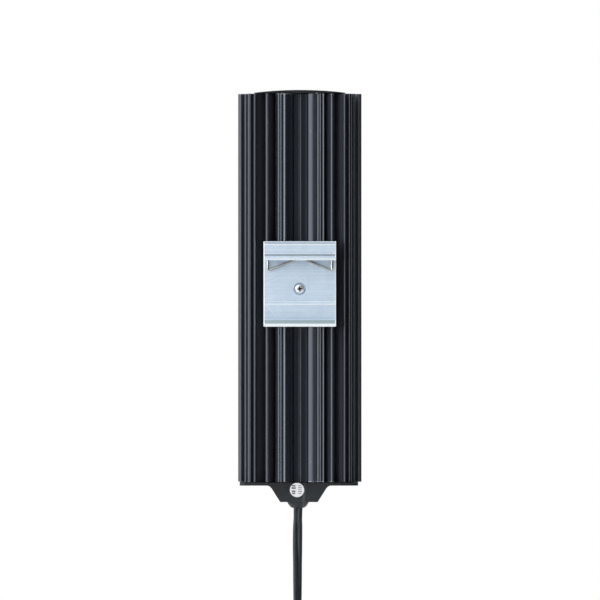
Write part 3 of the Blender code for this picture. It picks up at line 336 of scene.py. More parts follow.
# Finishes
anodisedLook = {
    "colour": (0.0050, 0.0068, 0.0102),
    "otherColour": (0.0100, 0.0125, 0.0175),
    "thinColour": (0.330, 0.355, 0.405),  # along the tips' edges, where the anodising has worn thin; partly a painted highlight
    "wear": 0.85,
    "wearSpan": (0.55, 1.0),
    "tint": (0.80, 0.87, 1.00),
    "valleyBloomAndFillColour": (0.042, 0.046, 0.058),  # the matte bloom between the fins, made paler as painted fill light against the fins' shade
    "bareColour": (0.42, 0.45, 0.49),
    "roughness": (0.11, 0.18),
    "valleyRoughness": 0.62,
    "ior": 1.68,
    "lineStretch": (900.0, 900.0, 5.0),
    "lineBump": (0.22, 0.00006),
    "grain": 2600.0,
    "grainBump": (0.12, 0.00003),
    "dust": {"Scale": 330.0, "Amount": 0.05},
    "dustStretch": (1.0, 1.0, 0.55),
    "dustColour": (0.20, 0.21, 0.23),
    "middle": 0.0136,
    "halfLength": 0.1100,
    "chipReach": (0.00070, 0.00030),  # how far the bare chips reach in from the sawn ends
}


def anodisedFinish(look):
    material, tree, surface, vector = startMaterial("blackAnodised")
    lines = useGroup(tree, lineGroup, stretched(tree, vector, look["lineStretch"]), Fine=3.0)
    grain = useGroup(tree, grainGroup, vector, Scale=look["grain"], Blotch=0.02)
    dust = useGroup(tree, dustGroup, stretched(tree, vector, look["dustStretch"]), **look["dust"])
    shade = rangeNode(tree, lines["Shade"], hardNoise)
    colour = mixColour(tree, shade, look["colour"], look["otherColour"])
    # a paler matte bloom in the valleys, which also serves as painted fill light there
    valley = attributeNode(tree, "valley")
    depth = times(tree, valley, rangeNode(tree, grain["Coarse"], softNoise, 0.85, 1.0))
    colour = mixColour(tree, depth, colour, look["valleyBloomAndFillColour"])
    # a pale colour on the tips and ridges: worn anodising and a painted highlight
    wornAndHighlighted = rangeNode(tree, attributeNode(tree, "wear"), look["wearSpan"], 0.0, look["wear"])
    thin = times(tree, wornAndHighlighted, rangeNode(tree, grain["Fine"], skinNoise, 0.70, 1.0))
    colour = mixColour(tree, thin, colour, look["thinColour"])
    colour = mixColour(tree, times(tree, dust["Mask"], 0.5), colour, look["dustColour"])
    # bare metal shows in places along the sawn ends
    fromMiddle = distanceFrom(tree, axesOf(tree, vector)["Z"], look["middle"])
    reach = tuple(look["halfLength"] - inwards for inwards in look["chipReach"])
    places = rangeNode(tree, grain["Coarse"], (0.50, 0.56))
    chips = times(tree, places, rangeNode(tree, grain["Fine"], (0.50, 0.58)))
    bare = mathNode(tree, "MULTIPLY", rangeNode(tree, fromMiddle, reach), chips, clamp=True)
    colour = mixColour(tree, bare, colour, look["bareColour"])
    link(tree, colour, surface.inputs["Base Color"])
    link(tree, bare, surface.inputs["Metallic"])
    surface.inputs["IOR"].default_value = look["ior"]
    surface.inputs["Specular Tint"].default_value = (*look["tint"], 1.0)
    rough = rangeNode(tree, lines["Shade"], softNoise, *look["roughness"])
    matte = times(tree, valley, look["valleyRoughness"] - look["roughness"][1])
    link(tree, mathNode(tree, "ADD", rough, matte), surface.inputs["Roughness"])
    normal = bumpNode(tree, lines["Height"], *look["lineBump"])
    link(tree, bumpNode(tree, grain["Fine"], *look["grainBump"], normal), surface.inputs["Normal"])
    return material


metalLooks = {
    # name: colour, other colour, roughness, stretch of the drawn lines
    "brightSteel": ((0.90, 0.91, 0.92), (0.78, 0.79, 0.80), (0.30, 0.42), (600.0, 600.0, 600.0)),
    "springWire": ((0.50, 0.49, 0.45), (0.36, 0.35, 0.32), (0.08, 0.16), (900.0, 300.0, 900.0)),
    "plainAluminium": ((0.76, 0.77, 0.78), (0.66, 0.67, 0.68), (0.32, 0.46), (700.0, 700.0, 4.0)),
}
recessShadeColour = (0.004, 0.004, 0.005)  # painted shade in the screws' recesses


def metalFinish(name, look):
    colour, other, roughness, drawn = look
    material, tree, surface, vector = startMaterial(name)
    lines = useGroup(tree, lineGroup, stretched(tree, vector, drawn), Fine=3.0)
    grain = useGroup(tree, grainGroup, vector, Scale=1500.0, Blotch=0.05)
    amount = rangeNode(tree, times(tree, lines["Shade"], grain["Coarse"]), (0.15, 0.35))
    colour = mixColour(tree, amount, colour, other)
    # painted shade darkens the screws' recesses
    colour = mixColour(tree, attributeNode(tree, "grime"), colour, recessShadeColour)
    link(tree, colour, surface.inputs["Base Color"])
    surface.inputs["Metallic"].default_value = 1.0
    link(tree, rangeNode(tree, grain["Coarse"], softNoise, *roughness), surface.inputs["Roughness"])
    normal = bumpNode(tree, lines["Height"], 0.18, 0.00005)
    link(tree, bumpNode(tree, grain["Fine"], 0.10, 0.00003, normal), surface.inputs["Normal"])
    return material


skinLooks = {
    # name: colour, other colour, roughness, grain scale, bump, share of specks, gloss
    "charcoalMoulding": ((0.008, 0.0105, 0.0140), (0.013, 0.0160, 0.0200), (0.42, 0.56), 2200.0, 0.35, 0.03, 0.28),
    "boxMoulding": ((0.021, 0.0253, 0.0305), (0.029, 0.0338, 0.0395), (0.40, 0.54), 1900.0, 0.45, 0.05, 0.28),
    "kilnCeramic": ((0.78, 0.76, 0.70), (0.68, 0.65, 0.58), (0.55, 0.75), 1800.0, 0.40, 0.02, 0.50),
    "amberFilm": ((0.50, 0.22, 0.04), (0.42, 0.17, 0.03), (0.20, 0.32), 400.0, 0.15, 0.00, 0.50),
    "redSilicone": ((0.42, 0.05, 0.04), (0.34, 0.04, 0.03), (0.42, 0.56), 1200.0, 0.20, 0.00, 0.50),
    "cordSheath": ((0.008, 0.0130, 0.0175), (0.013, 0.0185, 0.0240), (0.32, 0.44), 1500.0, 0.25, 0.04, 0.40),
    "brownCore": ((0.14, 0.06, 0.03), (0.11, 0.045, 0.02), (0.35, 0.48), 1200.0, 0.20, 0.00, 0.50),
    "blueCore": ((0.03, 0.10, 0.34), (0.025, 0.08, 0.27), (0.35, 0.48), 1200.0, 0.20, 0.00, 0.50),
    "tieBand": ((0.025, 0.026, 0.028), (0.040, 0.041, 0.043), (0.55, 0.70), 1600.0, 0.50, 0.00, 0.50),
}
speckColour = (0.30, 0.31, 0.32)


def skinFinish(name, look):
    colour, other, roughness, scale, bump, specks, gloss = look
    material, tree, surface, vector = startMaterial(name)
    grain = useGroup(tree, grainGroup, vector, Scale=scale, Blotch=0.06)
    colour = mixColour(tree, rangeNode(tree, grain["Coarse"], hardNoise), colour, other)
    if specks > 0:
        dust = useGroup(tree, dustGroup, vector, Scale=420.0, Amount=specks)
        colour = mixColour(tree, times(tree, dust["Mask"], 0.45), colour, speckColour)
    link(tree, colour, surface.inputs["Base Color"])
    link(tree, rangeNode(tree, grain["Coarse"], softNoise, *roughness), surface.inputs["Roughness"])
    link(tree, bumpNode(tree, grain["Fine"], bump, 0.00005), surface.inputs["Normal"])
    surface.inputs["Specular IOR Level"].default_value = gloss
    return material


boxMarks = {
    "seam": (0.0022, 0.0008),  # a paler seam: its middle across and half its width
    "lineShift": 0.0007,  # a pale strip of painted highlight: its middle across and half its width
    "bottom": -0.1100,
    "seamTop": -0.1030,
    "top": -0.0985,
    "pale": (0.060, 0.066, 0.072),
    "dark": (0.006, 0.007, 0.009),
}


def markBox(material, look):
    # the box darkens towards its flange, and a pale strip of painted highlight runs down beside its middle
    tree = material.node_tree
    base = tree.nodes["Principled BSDF"].inputs["Base Color"]
    vector = tree.nodes.new("ShaderNodeTexCoord").outputs["Object"]
    axes = axesOf(tree, vector)
    middle, half = look["seam"]
    upper = rangeNode(tree, axes["Z"], (look["bottom"], look["top"]), 0.0, 0.75)
    cloud = rangeNode(tree, noiseNode(tree, vector, 260.0, 2.0), hardNoise, 0.7, 1.0)
    colour = mixColour(tree, times(tree, upper, cloud), base.links[0].from_socket, look["dark"])
    # a pale strip of painted highlight down the lower part, and a fine painted highlight line above it
    ridgeHighlightAway = distanceFrom(tree, axes["X"], middle)
    below = mathNode(tree, "LESS_THAN", axes["Z"], look["seamTop"])
    seam = times(tree, rangeNode(tree, ridgeHighlightAway, (half * 0.6, half * 1.4), 0.8, 0.0), below)
    lineAway = distanceFrom(tree, axes["X"], middle + look["lineShift"])
    above = mathNode(tree, "GREATER_THAN", axes["Z"], look["seamTop"])
    line = times(tree, rangeNode(tree, lineAway, (0.0001, 0.0003), 0.6, 0.0), above)
    colour = mixColour(tree, mathNode(tree, "MAXIMUM", seam, line), colour, look["pale"])
    specks = noiseNode(tree, vector, 1500.0, 3.0, 0.7)
    link(tree, mixColour(tree, rangeNode(tree, specks, (0.60, 0.75), 0.0, 0.35), colour, look["pale"]), base)


stickerLook = {
    "paper": (0.77, 0.775, 0.80),
    "paperShade": (0.70, 0.71, 0.74),
    # plain dashes: left and right end, height from the middle, half thickness, darkness
    "dashes": (
        (-0.0029, -0.0008, 0.0024, 0.00042, 0.95), (-0.0031, -0.0006, 0.0011, 0.00042, 1.00),
        (-0.0030, -0.0008, -0.0007, 0.00042, 0.95), (-0.0028, -0.0010, -0.0019, 0.00040, 0.95),
        (0.0006, 0.0024, 0.0024, 0.00022, 0.75), (0.0006, 0.0029, 0.0013, 0.00022, 0.85),
        (0.0006, 0.0027, 0.0002, 0.00022, 0.75), (0.0006, 0.0030, -0.0009, 0.00022, 0.85),
        (0.0006, 0.0025, -0.0020, 0.00022, 0.75),
    ),
    "ink": (0.035, 0.036, 0.040),
    "rim": (0.00375, 0.00405),  # between these radii the cut edge turns a little darker
    "rimColour": (0.42, 0.43, 0.45),
}


def stickerFinish(look, middle):
    # blank paper with two columns of plain dashes, set out from the sticker's middle
    material, tree, surface, vector = startMaterial("stickerPaper")
    axes = axesOf(tree, vector)
    acrossX = mathNode(tree, "SUBTRACT", axes["X"], middle[0])
    upZ = mathNode(tree, "SUBTRACT", axes["Z"], middle[1])
    mask = 0.0
    for first, last, height, half, dark in look["dashes"]:
        reach = (last - first) / 2
        sideways = distanceFrom(tree, acrossX, (first + last) / 2)
        within = rangeNode(tree, sideways, (reach - 0.0001, reach), dark, 0.0)
        away = distanceFrom(tree, upZ, height)
        dash = times(tree, rangeNode(tree, away, (half, half + 0.00008), 1.0, 0.0), within)
        mask = mathNode(tree, "MAXIMUM", mask, dash)
    grain = useGroup(tree, grainGroup, vector, Scale=2500.0, Blotch=0.1)
    paper = mixColour(tree, rangeNode(tree, grain["Coarse"], softNoise), look["paper"], look["paperShade"])
    squares = mathNode(tree, "ADD", times(tree, acrossX, acrossX), times(tree, upZ, upZ))
    edge = rangeNode(tree, mathNode(tree, "SQRT", squares), look["rim"], 0.0, 0.35)
    paper = mixColour(tree, edge, paper, look["rimColour"])
    printed = times(tree, mask, rangeNode(tree, grain["Fine"], skinNoise, 0.75, 1.0))
    link(tree, mixColour(tree, printed, paper, look["ink"]), surface.inputs["Base Color"])
    link(tree, rangeNode(tree, grain["Fine"], softNoise, 0.42, 0.58), surface.inputs["Roughness"])
    link(tree, bumpNode(tree, grain["Fine"], 0.15, 0.00003), surface.inputs["Normal"])
    return material


clipLook = {
    "colour": (0.64, 0.755, 0.88),
    "shade": (0.53, 0.635, 0.755),
    "grime": (0.20, 0.23, 0.25),
    "bright": (0.97, 0.99, 1.00),
    "metallic": 0.30,
    "roughness": (0.34, 0.50),
    "lineStretch": (14.0, 900.0, 1300.0),
    "scratches": ((0.35, 3040.0), (-0.9, 3680.0)),  # slant in radians, and how fine
    # specks: stretch, scale, share, strength
    "dents": ((1.0, 1.0, 1.6), 360.0, 0.08, 0.35),
    "scuffs": ((1.0, 1.0, 1.9), 290.0, 0.10, 0.75),
    # lines across the clip: height, half width, strength; the first two are painted shade in the grooves, darkened
    # with grime as well, and the rest are painted highlights
    "darkLines": ((0.0389, 0.00036, 0.60), (0.03215, 0.00040, 0.90)),
    # painted highlights along the clip's bends and scribed lines
    "brightLines": (
        (0.0060, 0.00036, 0.25), (0.0044, 0.00036, 0.60), (0.0381, 0.0004, 0.55), (0.0299, 0.0007, 0.45),
    ),
    "hookBand": (-0.0065, -0.0046, (0.33, 0.41, 0.44)),  # painted shade along the lower hook's upper edge
    "hookFoot": -0.0068,
    "hookFront": -0.0020,
    "hookFace": -0.0050,
    "halfWidth": 0.0205,
    "edgeSpan": (0.00065, 0.00045),  # how far the painted highlights along the cut edges reach in
}


def clipFinish(look):
    # drawn lines run across the clip, with faint scratches and dents; painted shade lies in its grooves and along the
    # lower hook, and painted highlights on its bends, hook foot and cut edges
    material, tree, surface, vector = startMaterial("clipAluminium")
    axes = axesOf(tree, vector)
    lines = useGroup(tree, lineGroup, stretched(tree, vector, look["lineStretch"]), Fine=2.5)
    grain = useGroup(tree, grainGroup, vector, Scale=1500.0, Blotch=0.09)
    amount = mathNode(tree, "ADD", times(tree, lines["Shade"], 0.6), times(tree, grain["Coarse"], 0.5))
    colour = mixColour(tree, rangeNode(tree, amount, (0.42, 0.70)), look["colour"], look["shade"])
    # long scratches at two slants, broken up by the blotches
    for turn, fineness in look["scratches"]:
        spin = tree.nodes.new("ShaderNodeVectorRotate")
        spin.rotation_type = "Y_AXIS"
        spin.inputs["Angle"].default_value = turn
        link(tree, vector, spin.inputs["Vector"])
        streak = noiseNode(tree, stretched(tree, spin.outputs["Vector"], (40.0, 40.0, fineness)), 1.0, 1.0)
        thin = rangeNode(tree, streak, (0.66, 0.72), 0.0, 0.9)
        colour = mixColour(tree, times(tree, thin, grain["Coarse"]), colour, look["bright"])
    for kind, other in (("dents", "grime"), ("scuffs", "bright")):
        stretch, scale, share, strength = look[kind]
        specks = useGroup(tree, dustGroup, stretched(tree, vector, stretch), Scale=scale, Amount=share)
        colour = mixColour(tree, times(tree, specks["Mask"], strength), colour, look[other])
    # painted shade along the grooves, and painted highlights along the bends and scribed lines
    for kind, other in (("darkLines", "grime"), ("brightLines", "bright")):
        for height, half, strength in look[kind]:
            away = distanceFrom(tree, axes["Z"], height)
            amount = rangeNode(tree, away, (half * 0.5, half * 1.4), strength, 0.0)
            colour = mixColour(tree, amount, colour, look[other])
    # these marks stay off the clip's two sawn ends
    fromMiddle = mathNode(tree, "ABSOLUTE", axes["X"])
    facing = mathNode(tree, "LESS_THAN", fromMiddle, look["halfWidth"] - 0.00004)
    # painted shade along the lower hook's upper edge
    low, high, hookShade = look["hookBand"]
    above = mathNode(tree, "GREATER_THAN", axes["Z"], low)
    inBand = times(tree, above, mathNode(tree, "LESS_THAN", axes["Z"], high))
    onHook = times(tree, inBand, mathNode(tree, "LESS_THAN", axes["Y"], look["hookFront"]))
    colour = mixColour(tree, times(tree, onHook, facing), colour, hookShade)
    # a painted highlight along the foot of the lower hook
    foot = rangeNode(tree, axes["Z"], (look["hookFoot"] - 0.0002, look["hookFoot"] + 0.0001), 0.85, 0.0)
    foot = times(tree, foot, mathNode(tree, "LESS_THAN", axes["Y"], look["hookFace"]))
    colour = mixColour(tree, foot, colour, look["bright"])
    # painted highlights along the two cut edges
    edge = rangeNode(tree, fromMiddle, tuple(look["halfWidth"] - inwards for inwards in look["edgeSpan"]))
    colour = mixColour(tree, times(tree, edge, facing), colour, look["bright"])
    link(tree, colour, surface.inputs["Base Color"])
    surface.inputs["Metallic"].default_value = look["metallic"]
    link(tree, rangeNode(tree, grain["Coarse"], softNoise, *look["roughness"]), surface.inputs["Roughness"])
    normal = bumpNode(tree, lines["Height"], 0.22, 0.00005)
    link(tree, bumpNode(tree, grain["Fine"], 0.12, 0.00003, normal), surface.inputs["Normal"])
    return material


anodised = anodisedFinish(anodisedLook)
finishes = {name: metalFinish(name, look) for name, look in metalLooks.items()}
finishes["clipAluminium"] = clipFinish(clipLook)
finishes.update({name: skinFinish(name, look) for name, look in skinLooks.items()})
markBox(finishes["boxMoulding"], boxMarks)
print("stage: finishes made")


# Cord: a twin cord that hangs, folds into a hank and ends in two bared cores
cordFacts = {
    "exit": (-0.0010, 0.0193, -0.1112),
    "top": -0.1026,  # where the sheath starts, inside the box
    "sway": (0.0, -0.0002, -0.0003, -0.0003, -0.0003, -0.0003, -0.0003),
    "drop": 0.0600,
    "neck": 0.0170,
    "foldRadius": 0.0164,
    "run": 0.0810,
    "pinch": 0.0040,
    "layer": 0.0056,
    "tail": 0.0200,
    "width": 0.0054,
    "lobe": 0.00139,
    "web": 0.00080,
    "step": 0.0012,
    # how the flat of the cord turns: millimetres below the exit, and degrees
    "turnPlaces": (-10, 0, 3.2, 6.0, 8.8, 11.7, 14.5, 20, 23, 25.8, 31.5, 37, 42.8, 51.3, 75, 600),
    "turnAngles": (28, 28, 35, 41, 26, 4, 0, 0, -7, -17, -28, -29, -34, -40, -90, -90),
}


def smoothLine(points, steps):
    # a curve that passes through every point, each stretch a cubic set by its four nearest points
    pts = np.asarray(points, float)
    padded = np.concatenate([pts[:1], pts, pts[-1:]])
    t = (np.arange(steps) / steps)[None, :, None]
    p, q, r, s = (padded[k:len(padded) - 3 + k][:, None, :] for k in range(4))
    curve = q + 0.5 * ((r - p) * t + (2 * p - 5 * q + 4 * r - s) * t**2 + (3 * q - p - 3 * r + s) * t**3)
    return np.concatenate([curve.reshape(-1, 3), pts[-1:]])


def evenly(points, step):
    # the same line with its points a fixed step apart
    pts = np.asarray(points, float)
    length = np.concatenate([[0.0], np.cumsum(np.linalg.norm(np.diff(pts, axis=0), axis=1))])
    keep = np.concatenate([[True], np.diff(length) > 1e-9])
    pts, length = pts[keep], length[keep]
    marks = np.linspace(0.0, length[-1], max(2, int(round(length[-1] / step)) + 1))
    return np.stack([np.interp(marks, length, pts[:, k]) for k in range(3)], -1), marks


def cordRoute(facts):
    # straight down with a slight sway, then three runs of a hank joined by two half circles
    exitX, exitY, exitZ = facts["exit"]
    count = len(facts["sway"])
    fall = np.linspace(0.0, facts["drop"], count)
    hanging = [(exitX, exitY, facts["top"])]
    hanging += [(exitX + s, exitY, exitZ - f) for s, f in zip(facts["sway"], fall)]
    hanging = smoothLine(hanging, 6)
    radius, run = facts["foldRadius"], facts["run"]
    upper = exitZ - facts["drop"] - facts["neck"]
    lower = upper - run
    centre = exitX + facts["sway"][-1] + radius
    middle = upper - run / 2
    nearY, farY = exitY, exitY + facts["layer"]

    def runLine(side, z, y):
        share = np.minimum(1.0, np.abs(z - middle) / (run / 2))
        offset = radius - facts["pinch"] * (1 + np.cos(np.pi * share)) / 2
        return np.stack([centre + side * offset, np.full_like(z, y), z], -1)

    down = np.linspace(upper, lower, 60)
    turn = np.linspace(0.0, np.pi, 30)
    neckZ = np.linspace(exitZ - facts["drop"], upper, 8)[1:-1]
    neck = np.stack([np.full_like(neckZ, centre - radius), np.full_like(neckZ, nearY), neckZ], -1)
    across, beyond = radius * np.cos(turn), radius * np.sin(turn)
    bottomFold = np.stack([centre - across, np.full_like(turn, nearY), lower - beyond], -1)
    ease = (1 - np.cos(turn)) / 2
    topFold = np.stack([centre + across, nearY + (farY - nearY) * ease, upper + beyond], -1)
    tailZ = np.linspace(lower, lower - facts["tail"], 10)[1:]
    tail = np.stack([np.full_like(tailZ, centre - radius), np.full_like(tailZ, farY), tailZ], -1)
    parts = [hanging, neck, runLine(-1, down, nearY), bottomFold[1:-1], runLine(1, down[::-1], nearY)]
    parts += [topFold[1:-1], runLine(-1, down, farY), tail]
    return evenly(np.concatenate(parts), facts["step"])


def cordTurns(marks, facts):
    # how far the flat of the cord is turned about its own line: it slants at the exit, faces out a
    # little way down and lies edge on through the folds; five neighbours are averaged
    inside = facts["top"] - facts["exit"][2]
    along = marks - inside
    turns = np.interp(along * 1000, facts["turnPlaces"], facts["turnAngles"])
    soft = np.convolve(np.pad(turns, 2, mode="edge"), np.full(5, 0.2), "valid")
    return np.radians(soft)


def twinSection(count, facts):
    # two equal circles side by side, rounded into each other over a web
    angle = np.linspace(0.0, 2 * np.pi, count, endpoint=False)
    lobe = facts["lobe"]
    offset = facts["width"] / 2 - lobe
    inside = np.sqrt(np.maximum(lobe**2 - (offset * np.sin(angle)) ** 2, 0.0))
    reach = offset * np.abs(np.cos(angle)) + inside
    reach = (reach**8 + facts["web"] ** 8) ** (1 / 8)
    return np.stack([reach * np.cos(angle), reach * np.sin(angle)], -1)


def sweep(points, turns, section, start):
    # carries a flat section along a line, turned by an angle about it; the frame is passed on from
    # point to point by projection, which keeps it from spinning
    tangent = np.gradient(points, axis=0)
    tangent /= np.linalg.norm(tangent, axis=1)[:, None]
    side = np.zeros_like(points)
    current = np.asarray(start, float)
    for i, direction in enumerate(tangent):
        current = current - direction * np.dot(current, direction)
        current /= np.linalg.norm(current)
        side[i] = current
    up = np.cross(tangent, side)
    cosine, sine = np.cos(turns)[:, None], np.sin(turns)[:, None]
    across = side * cosine + up * sine
    over = up * cosine - side * sine
    return points[:, None, :] + section[None, :, :1] * across[:, None, :] + section[None, :, 1:] * over[:, None, :]


cordPoints, cordMarks = cordRoute(cordFacts)
cordRings = sweep(cordPoints, cordTurns(cordMarks, cordFacts), twinSection(44, cordFacts), (1.0, 0.0, 0.0))
twinCord = closedTube("twinCord", cordRings, 60.0)
place(twinCord, "cord_sheath", finishes["cordSheath"], "cord", "cord_hank")
cordLength = float(cordMarks[-1])
print("stage: cord made,", round(cordLength, 4), "m")


# Heatsink profile: the section of the extrusion drawn finely, with softened sawn ends
profileShape = {
    "halfWidth": 0.0350,
    "halfDepth": 0.0250,
    "axisY": 0.0278,
    "low": -0.0964,
    "high": 0.1236,
    "core": (0.0180, 0.0090),
    "channel": 0.0040,
    "floor": 0.0032,
    "shoulder": (0.0082, 0.0050),
    "scribe": (0.0009, 0.0004),
    "land": (0.0005, 0.0049, 0.00035),
    "lip": 0.0032,
    "stem": 0.0104,
    "chamber": (0.0130, 0.0048, 0.0008),
    "cell": (0.0082, 0.0081, 0.0178, 0.0010),
    "port": (0.0099, 0.0212, 0.0016),
    "endSoft": 0.00015,
    "valleyDepth": 0.0030,
    "fins": (
        ((0.01352, 0.0090), (0.0136, 0.0090), (0.073, 0.675), (0.276, 1.000), (0.0018, 0.0023)),
        ((0.01671, 0.0090), (0.0136, 0.0090), (0.280, 0.475), (0.584, 0.919), (0.0015, 0.0014)),
        ((0.0180, 0.0072), (0.0180, 0.0090), (0.282, 0.200), (0.676, 0.725), (0.0015, 0.0024)),
        ((0.0180, 0.0045), (0.0180, 0.0090), (0.388, -0.063), (0.782, 0.406), (0.0014, 0.0015)),
        ((0.0180, 0.00171), (0.0180, 0.0090), (0.500, -0.375), (1.000, 0.031), (0.0016, 0.0032)),
    ),
}


def finCurve(fin, shape, steps=14, tipSteps=13):
    # a curve with one bend; the faces lie half the thickness to each side, and the tip is round
    root, start, bends, ends, thick = fin
    start = np.array(start)
    room = np.array([shape["halfWidth"], shape["halfDepth"]]) - start
    bend = start + np.array(bends) * room
    tipHalf = thick[1] / 2
    tip = start + np.array(ends) * room - tipHalf
    root = np.array(root)
    t = np.linspace(0.0, 1.0, steps + 1)[:, None]
    line = (1 - t) ** 2 * root + 2 * t * (1 - t) * bend + t**2 * tip
    way = (1 - t) * (bend - root) + t * (tip - bend)
    way /= np.linalg.norm(way, axis=1)[:, None]
    half = thick[0] / 2 + (tipHalf - thick[0] / 2) * t
    side = np.stack([-way[:, 1], way[:, 0]], -1) * half
    heading = math.atan2(side[-1, 1], side[-1, 0])
    angle = heading - np.pi * np.arange(1, tipSteps + 1) / (tipSteps + 1)
    cap = tip + tipHalf * np.stack([np.cos(angle), np.sin(angle)], -1)
    outline = np.concatenate([line + side, cap, (line - side)[::-1]])
    # the anodising is thinnest on the two shoulders of the tip, and a painted highlight lies there too
    fromMiddle = np.abs(np.linspace(-1.0, 1.0, tipSteps))
    wear = np.zeros(len(outline))
    wear[steps + 1:steps + 1 + tipSteps] = np.clip(1 - np.abs(fromMiddle - 0.62) / 0.30, 0.0, 1.0)
    return np.column_stack([outline, wear])


def wallHalf(shape):
    # scribed line, channel floor, round shoulder, land with three flutes, lip and stem
    back = shape["halfDepth"]
    floor = back - shape["channel"]
    scribeWidth, scribeDepth = shape["scribe"]
    top, radius = shape["shoulder"]
    drop, width, flute = shape["land"]
    angle = np.linspace(math.asin((radius - shape["channel"]) / radius), np.pi / 2, 18)
    shoulder = np.stack([top - radius * np.cos(angle), back - radius + radius * np.sin(angle)], -1)
    land = back - drop
    left = top + drop
    scribe = np.array([[0.0, floor - scribeDepth], [scribeWidth / 2, floor], [scribeWidth / 2 + 0.0003, floor]])
    points = [scribe, shoulder, np.array([[left, land]])]
    ridges = [1, 3 + len(shoulder)]
    part = np.linspace(0.0, 1.0, 9)[1:]
    for first, last in ((0.0, 0.37), (0.37, 0.62), (0.62, 1.0)):
        u = left + width * (first + (last - first) * part)
        points.append(np.stack([u, land - flute * np.sin(np.pi * part)], -1))
        ridges.append(sum(len(p) for p in points) - 1)
    lip = left + width
    under = floor - shape["floor"]
    stem = shape["stem"]
    corner = 0.0006
    points.append(np.array([
        [lip, land - shape["lip"]], [stem + corner, under], [stem, under - corner], [stem, shape["core"][1]],
    ]))
    outline = np.concatenate(points)
    # the scribe's edge, the shoulder and the flute ridges take the wear and painted highlight
    wear = np.zeros(len(outline))
    wear[ridges] = 1.0
    return np.column_stack([outline, wear])


def arcCorners(halfU, halfV, radius, centre, steps=5):
    # a rectangle whose corners are quarter circles
    corner = np.arange(4)[:, None]
    angle = corner * np.pi / 2 + np.linspace(0.0, np.pi / 2, steps + 1)[None, :]
    signU = np.array([1, -1, -1, 1])[:, None]
    signV = np.array([1, 1, -1, -1])[:, None]
    u = centre[0] + signU * (halfU - radius) + radius * np.cos(angle)
    v = centre[1] + signV * (halfV - radius) + radius * np.sin(angle)
    return np.stack([u.ravel(), v.ravel()], -1)


def circlePoints(radius, centre, steps=24):
    angle = np.arange(steps) * 2 * np.pi / steps
    return np.stack([centre[0] + radius * np.cos(angle), centre[1] + radius * np.sin(angle)], -1)


def profileLoops(shape):
    quarter = np.concatenate([wallHalf(shape)] + [finCurve(fin, shape) for fin in shape["fins"]])
    right = np.concatenate([quarter * (1, -1, 1), quarter[::-1]])
    left = (right[1:-1] * (-1, 1, 1))[::-1]
    outer = np.concatenate([right, left])
    wear, outer = outer[:, 2], outer[:, :2]
    chamberU, chamberV, chamberR = shape["chamber"]
    cellU, cellNear, cellFar, cellR = shape["cell"]
    portX, portD, portR = shape["port"]
    loops = [outer, arcCorners(chamberU, chamberV, chamberR, (0.0, 0.0))]
    middle, half = (cellNear + cellFar) / 2, (cellFar - cellNear) / 2
    loops += [arcCorners(cellU, half, cellR, (0.0, side * middle)) for side in (-1, 1)]
    loops += [circlePoints(portR, (x * portX, y * portD)) for x in (-1, 1) for y in (-1, 1)]
    return [loop + (0.0, shape["axisY"]) for loop in loops], wear


def shrink(loop, amount):
    # moves each point of a loop into the metal, along the mean of its two sides' normals
    way = np.roll(loop, -1, 0) - np.roll(loop, 1, 0)
    way /= np.linalg.norm(way, axis=1)[:, None] + 1e-12
    normal = np.stack([way[:, 1], -way[:, 0]], -1)
    return loop - normal * amount


def signedArea(loop):
    x, y = loop[:, 0], loop[:, 1]
    return 0.5 * float(np.sum(x * np.roll(y, -1) - np.roll(x, -1) * y))


def markWearAndHighlight(piece, wear, count):
    # the outline's wear and painted highlight, repeated up its four rings; the holes after it have none
    values = np.zeros(count, np.float32)
    values[:4 * len(wear)] = np.tile(wear, 4)
    layer = piece.data.attributes.new("wear", "FLOAT", "POINT")
    layer.data.foreach_set("value", values)


def markValleys(piece, points, outline, shape):
    # how far each point lies inside the straight lines that join the fins' tips, from 0 at the
    # tips to 1 at three millimetres; the middle channels are open and stay at 0
    rim = outline[geometry.convex_hull_2d(outline.tolist())]
    nearby = np.roll(rim, -1, 0)
    way = (nearby - rim) / np.linalg.norm(nearby - rim, axis=1)[:, None]
    across = (points[:, None, 0] - rim[None, :, 0]) * way[None, :, 1]
    along = (points[:, None, 1] - rim[None, :, 1]) * way[None, :, 0]
    depth = np.clip(np.abs(across - along).min(1) / shape["valleyDepth"], 0.0, 1.0)
    edge = shape["shoulder"][0] + shape["land"][1]
    depth *= np.clip((np.abs(points[:, 0]) - edge + 0.0002) / 0.0004, 0.0, 1.0)
    layer = piece.data.attributes.new("valley", "FLOAT", "POINT")
    layer.data.foreach_set("value", depth.astype(np.float32))


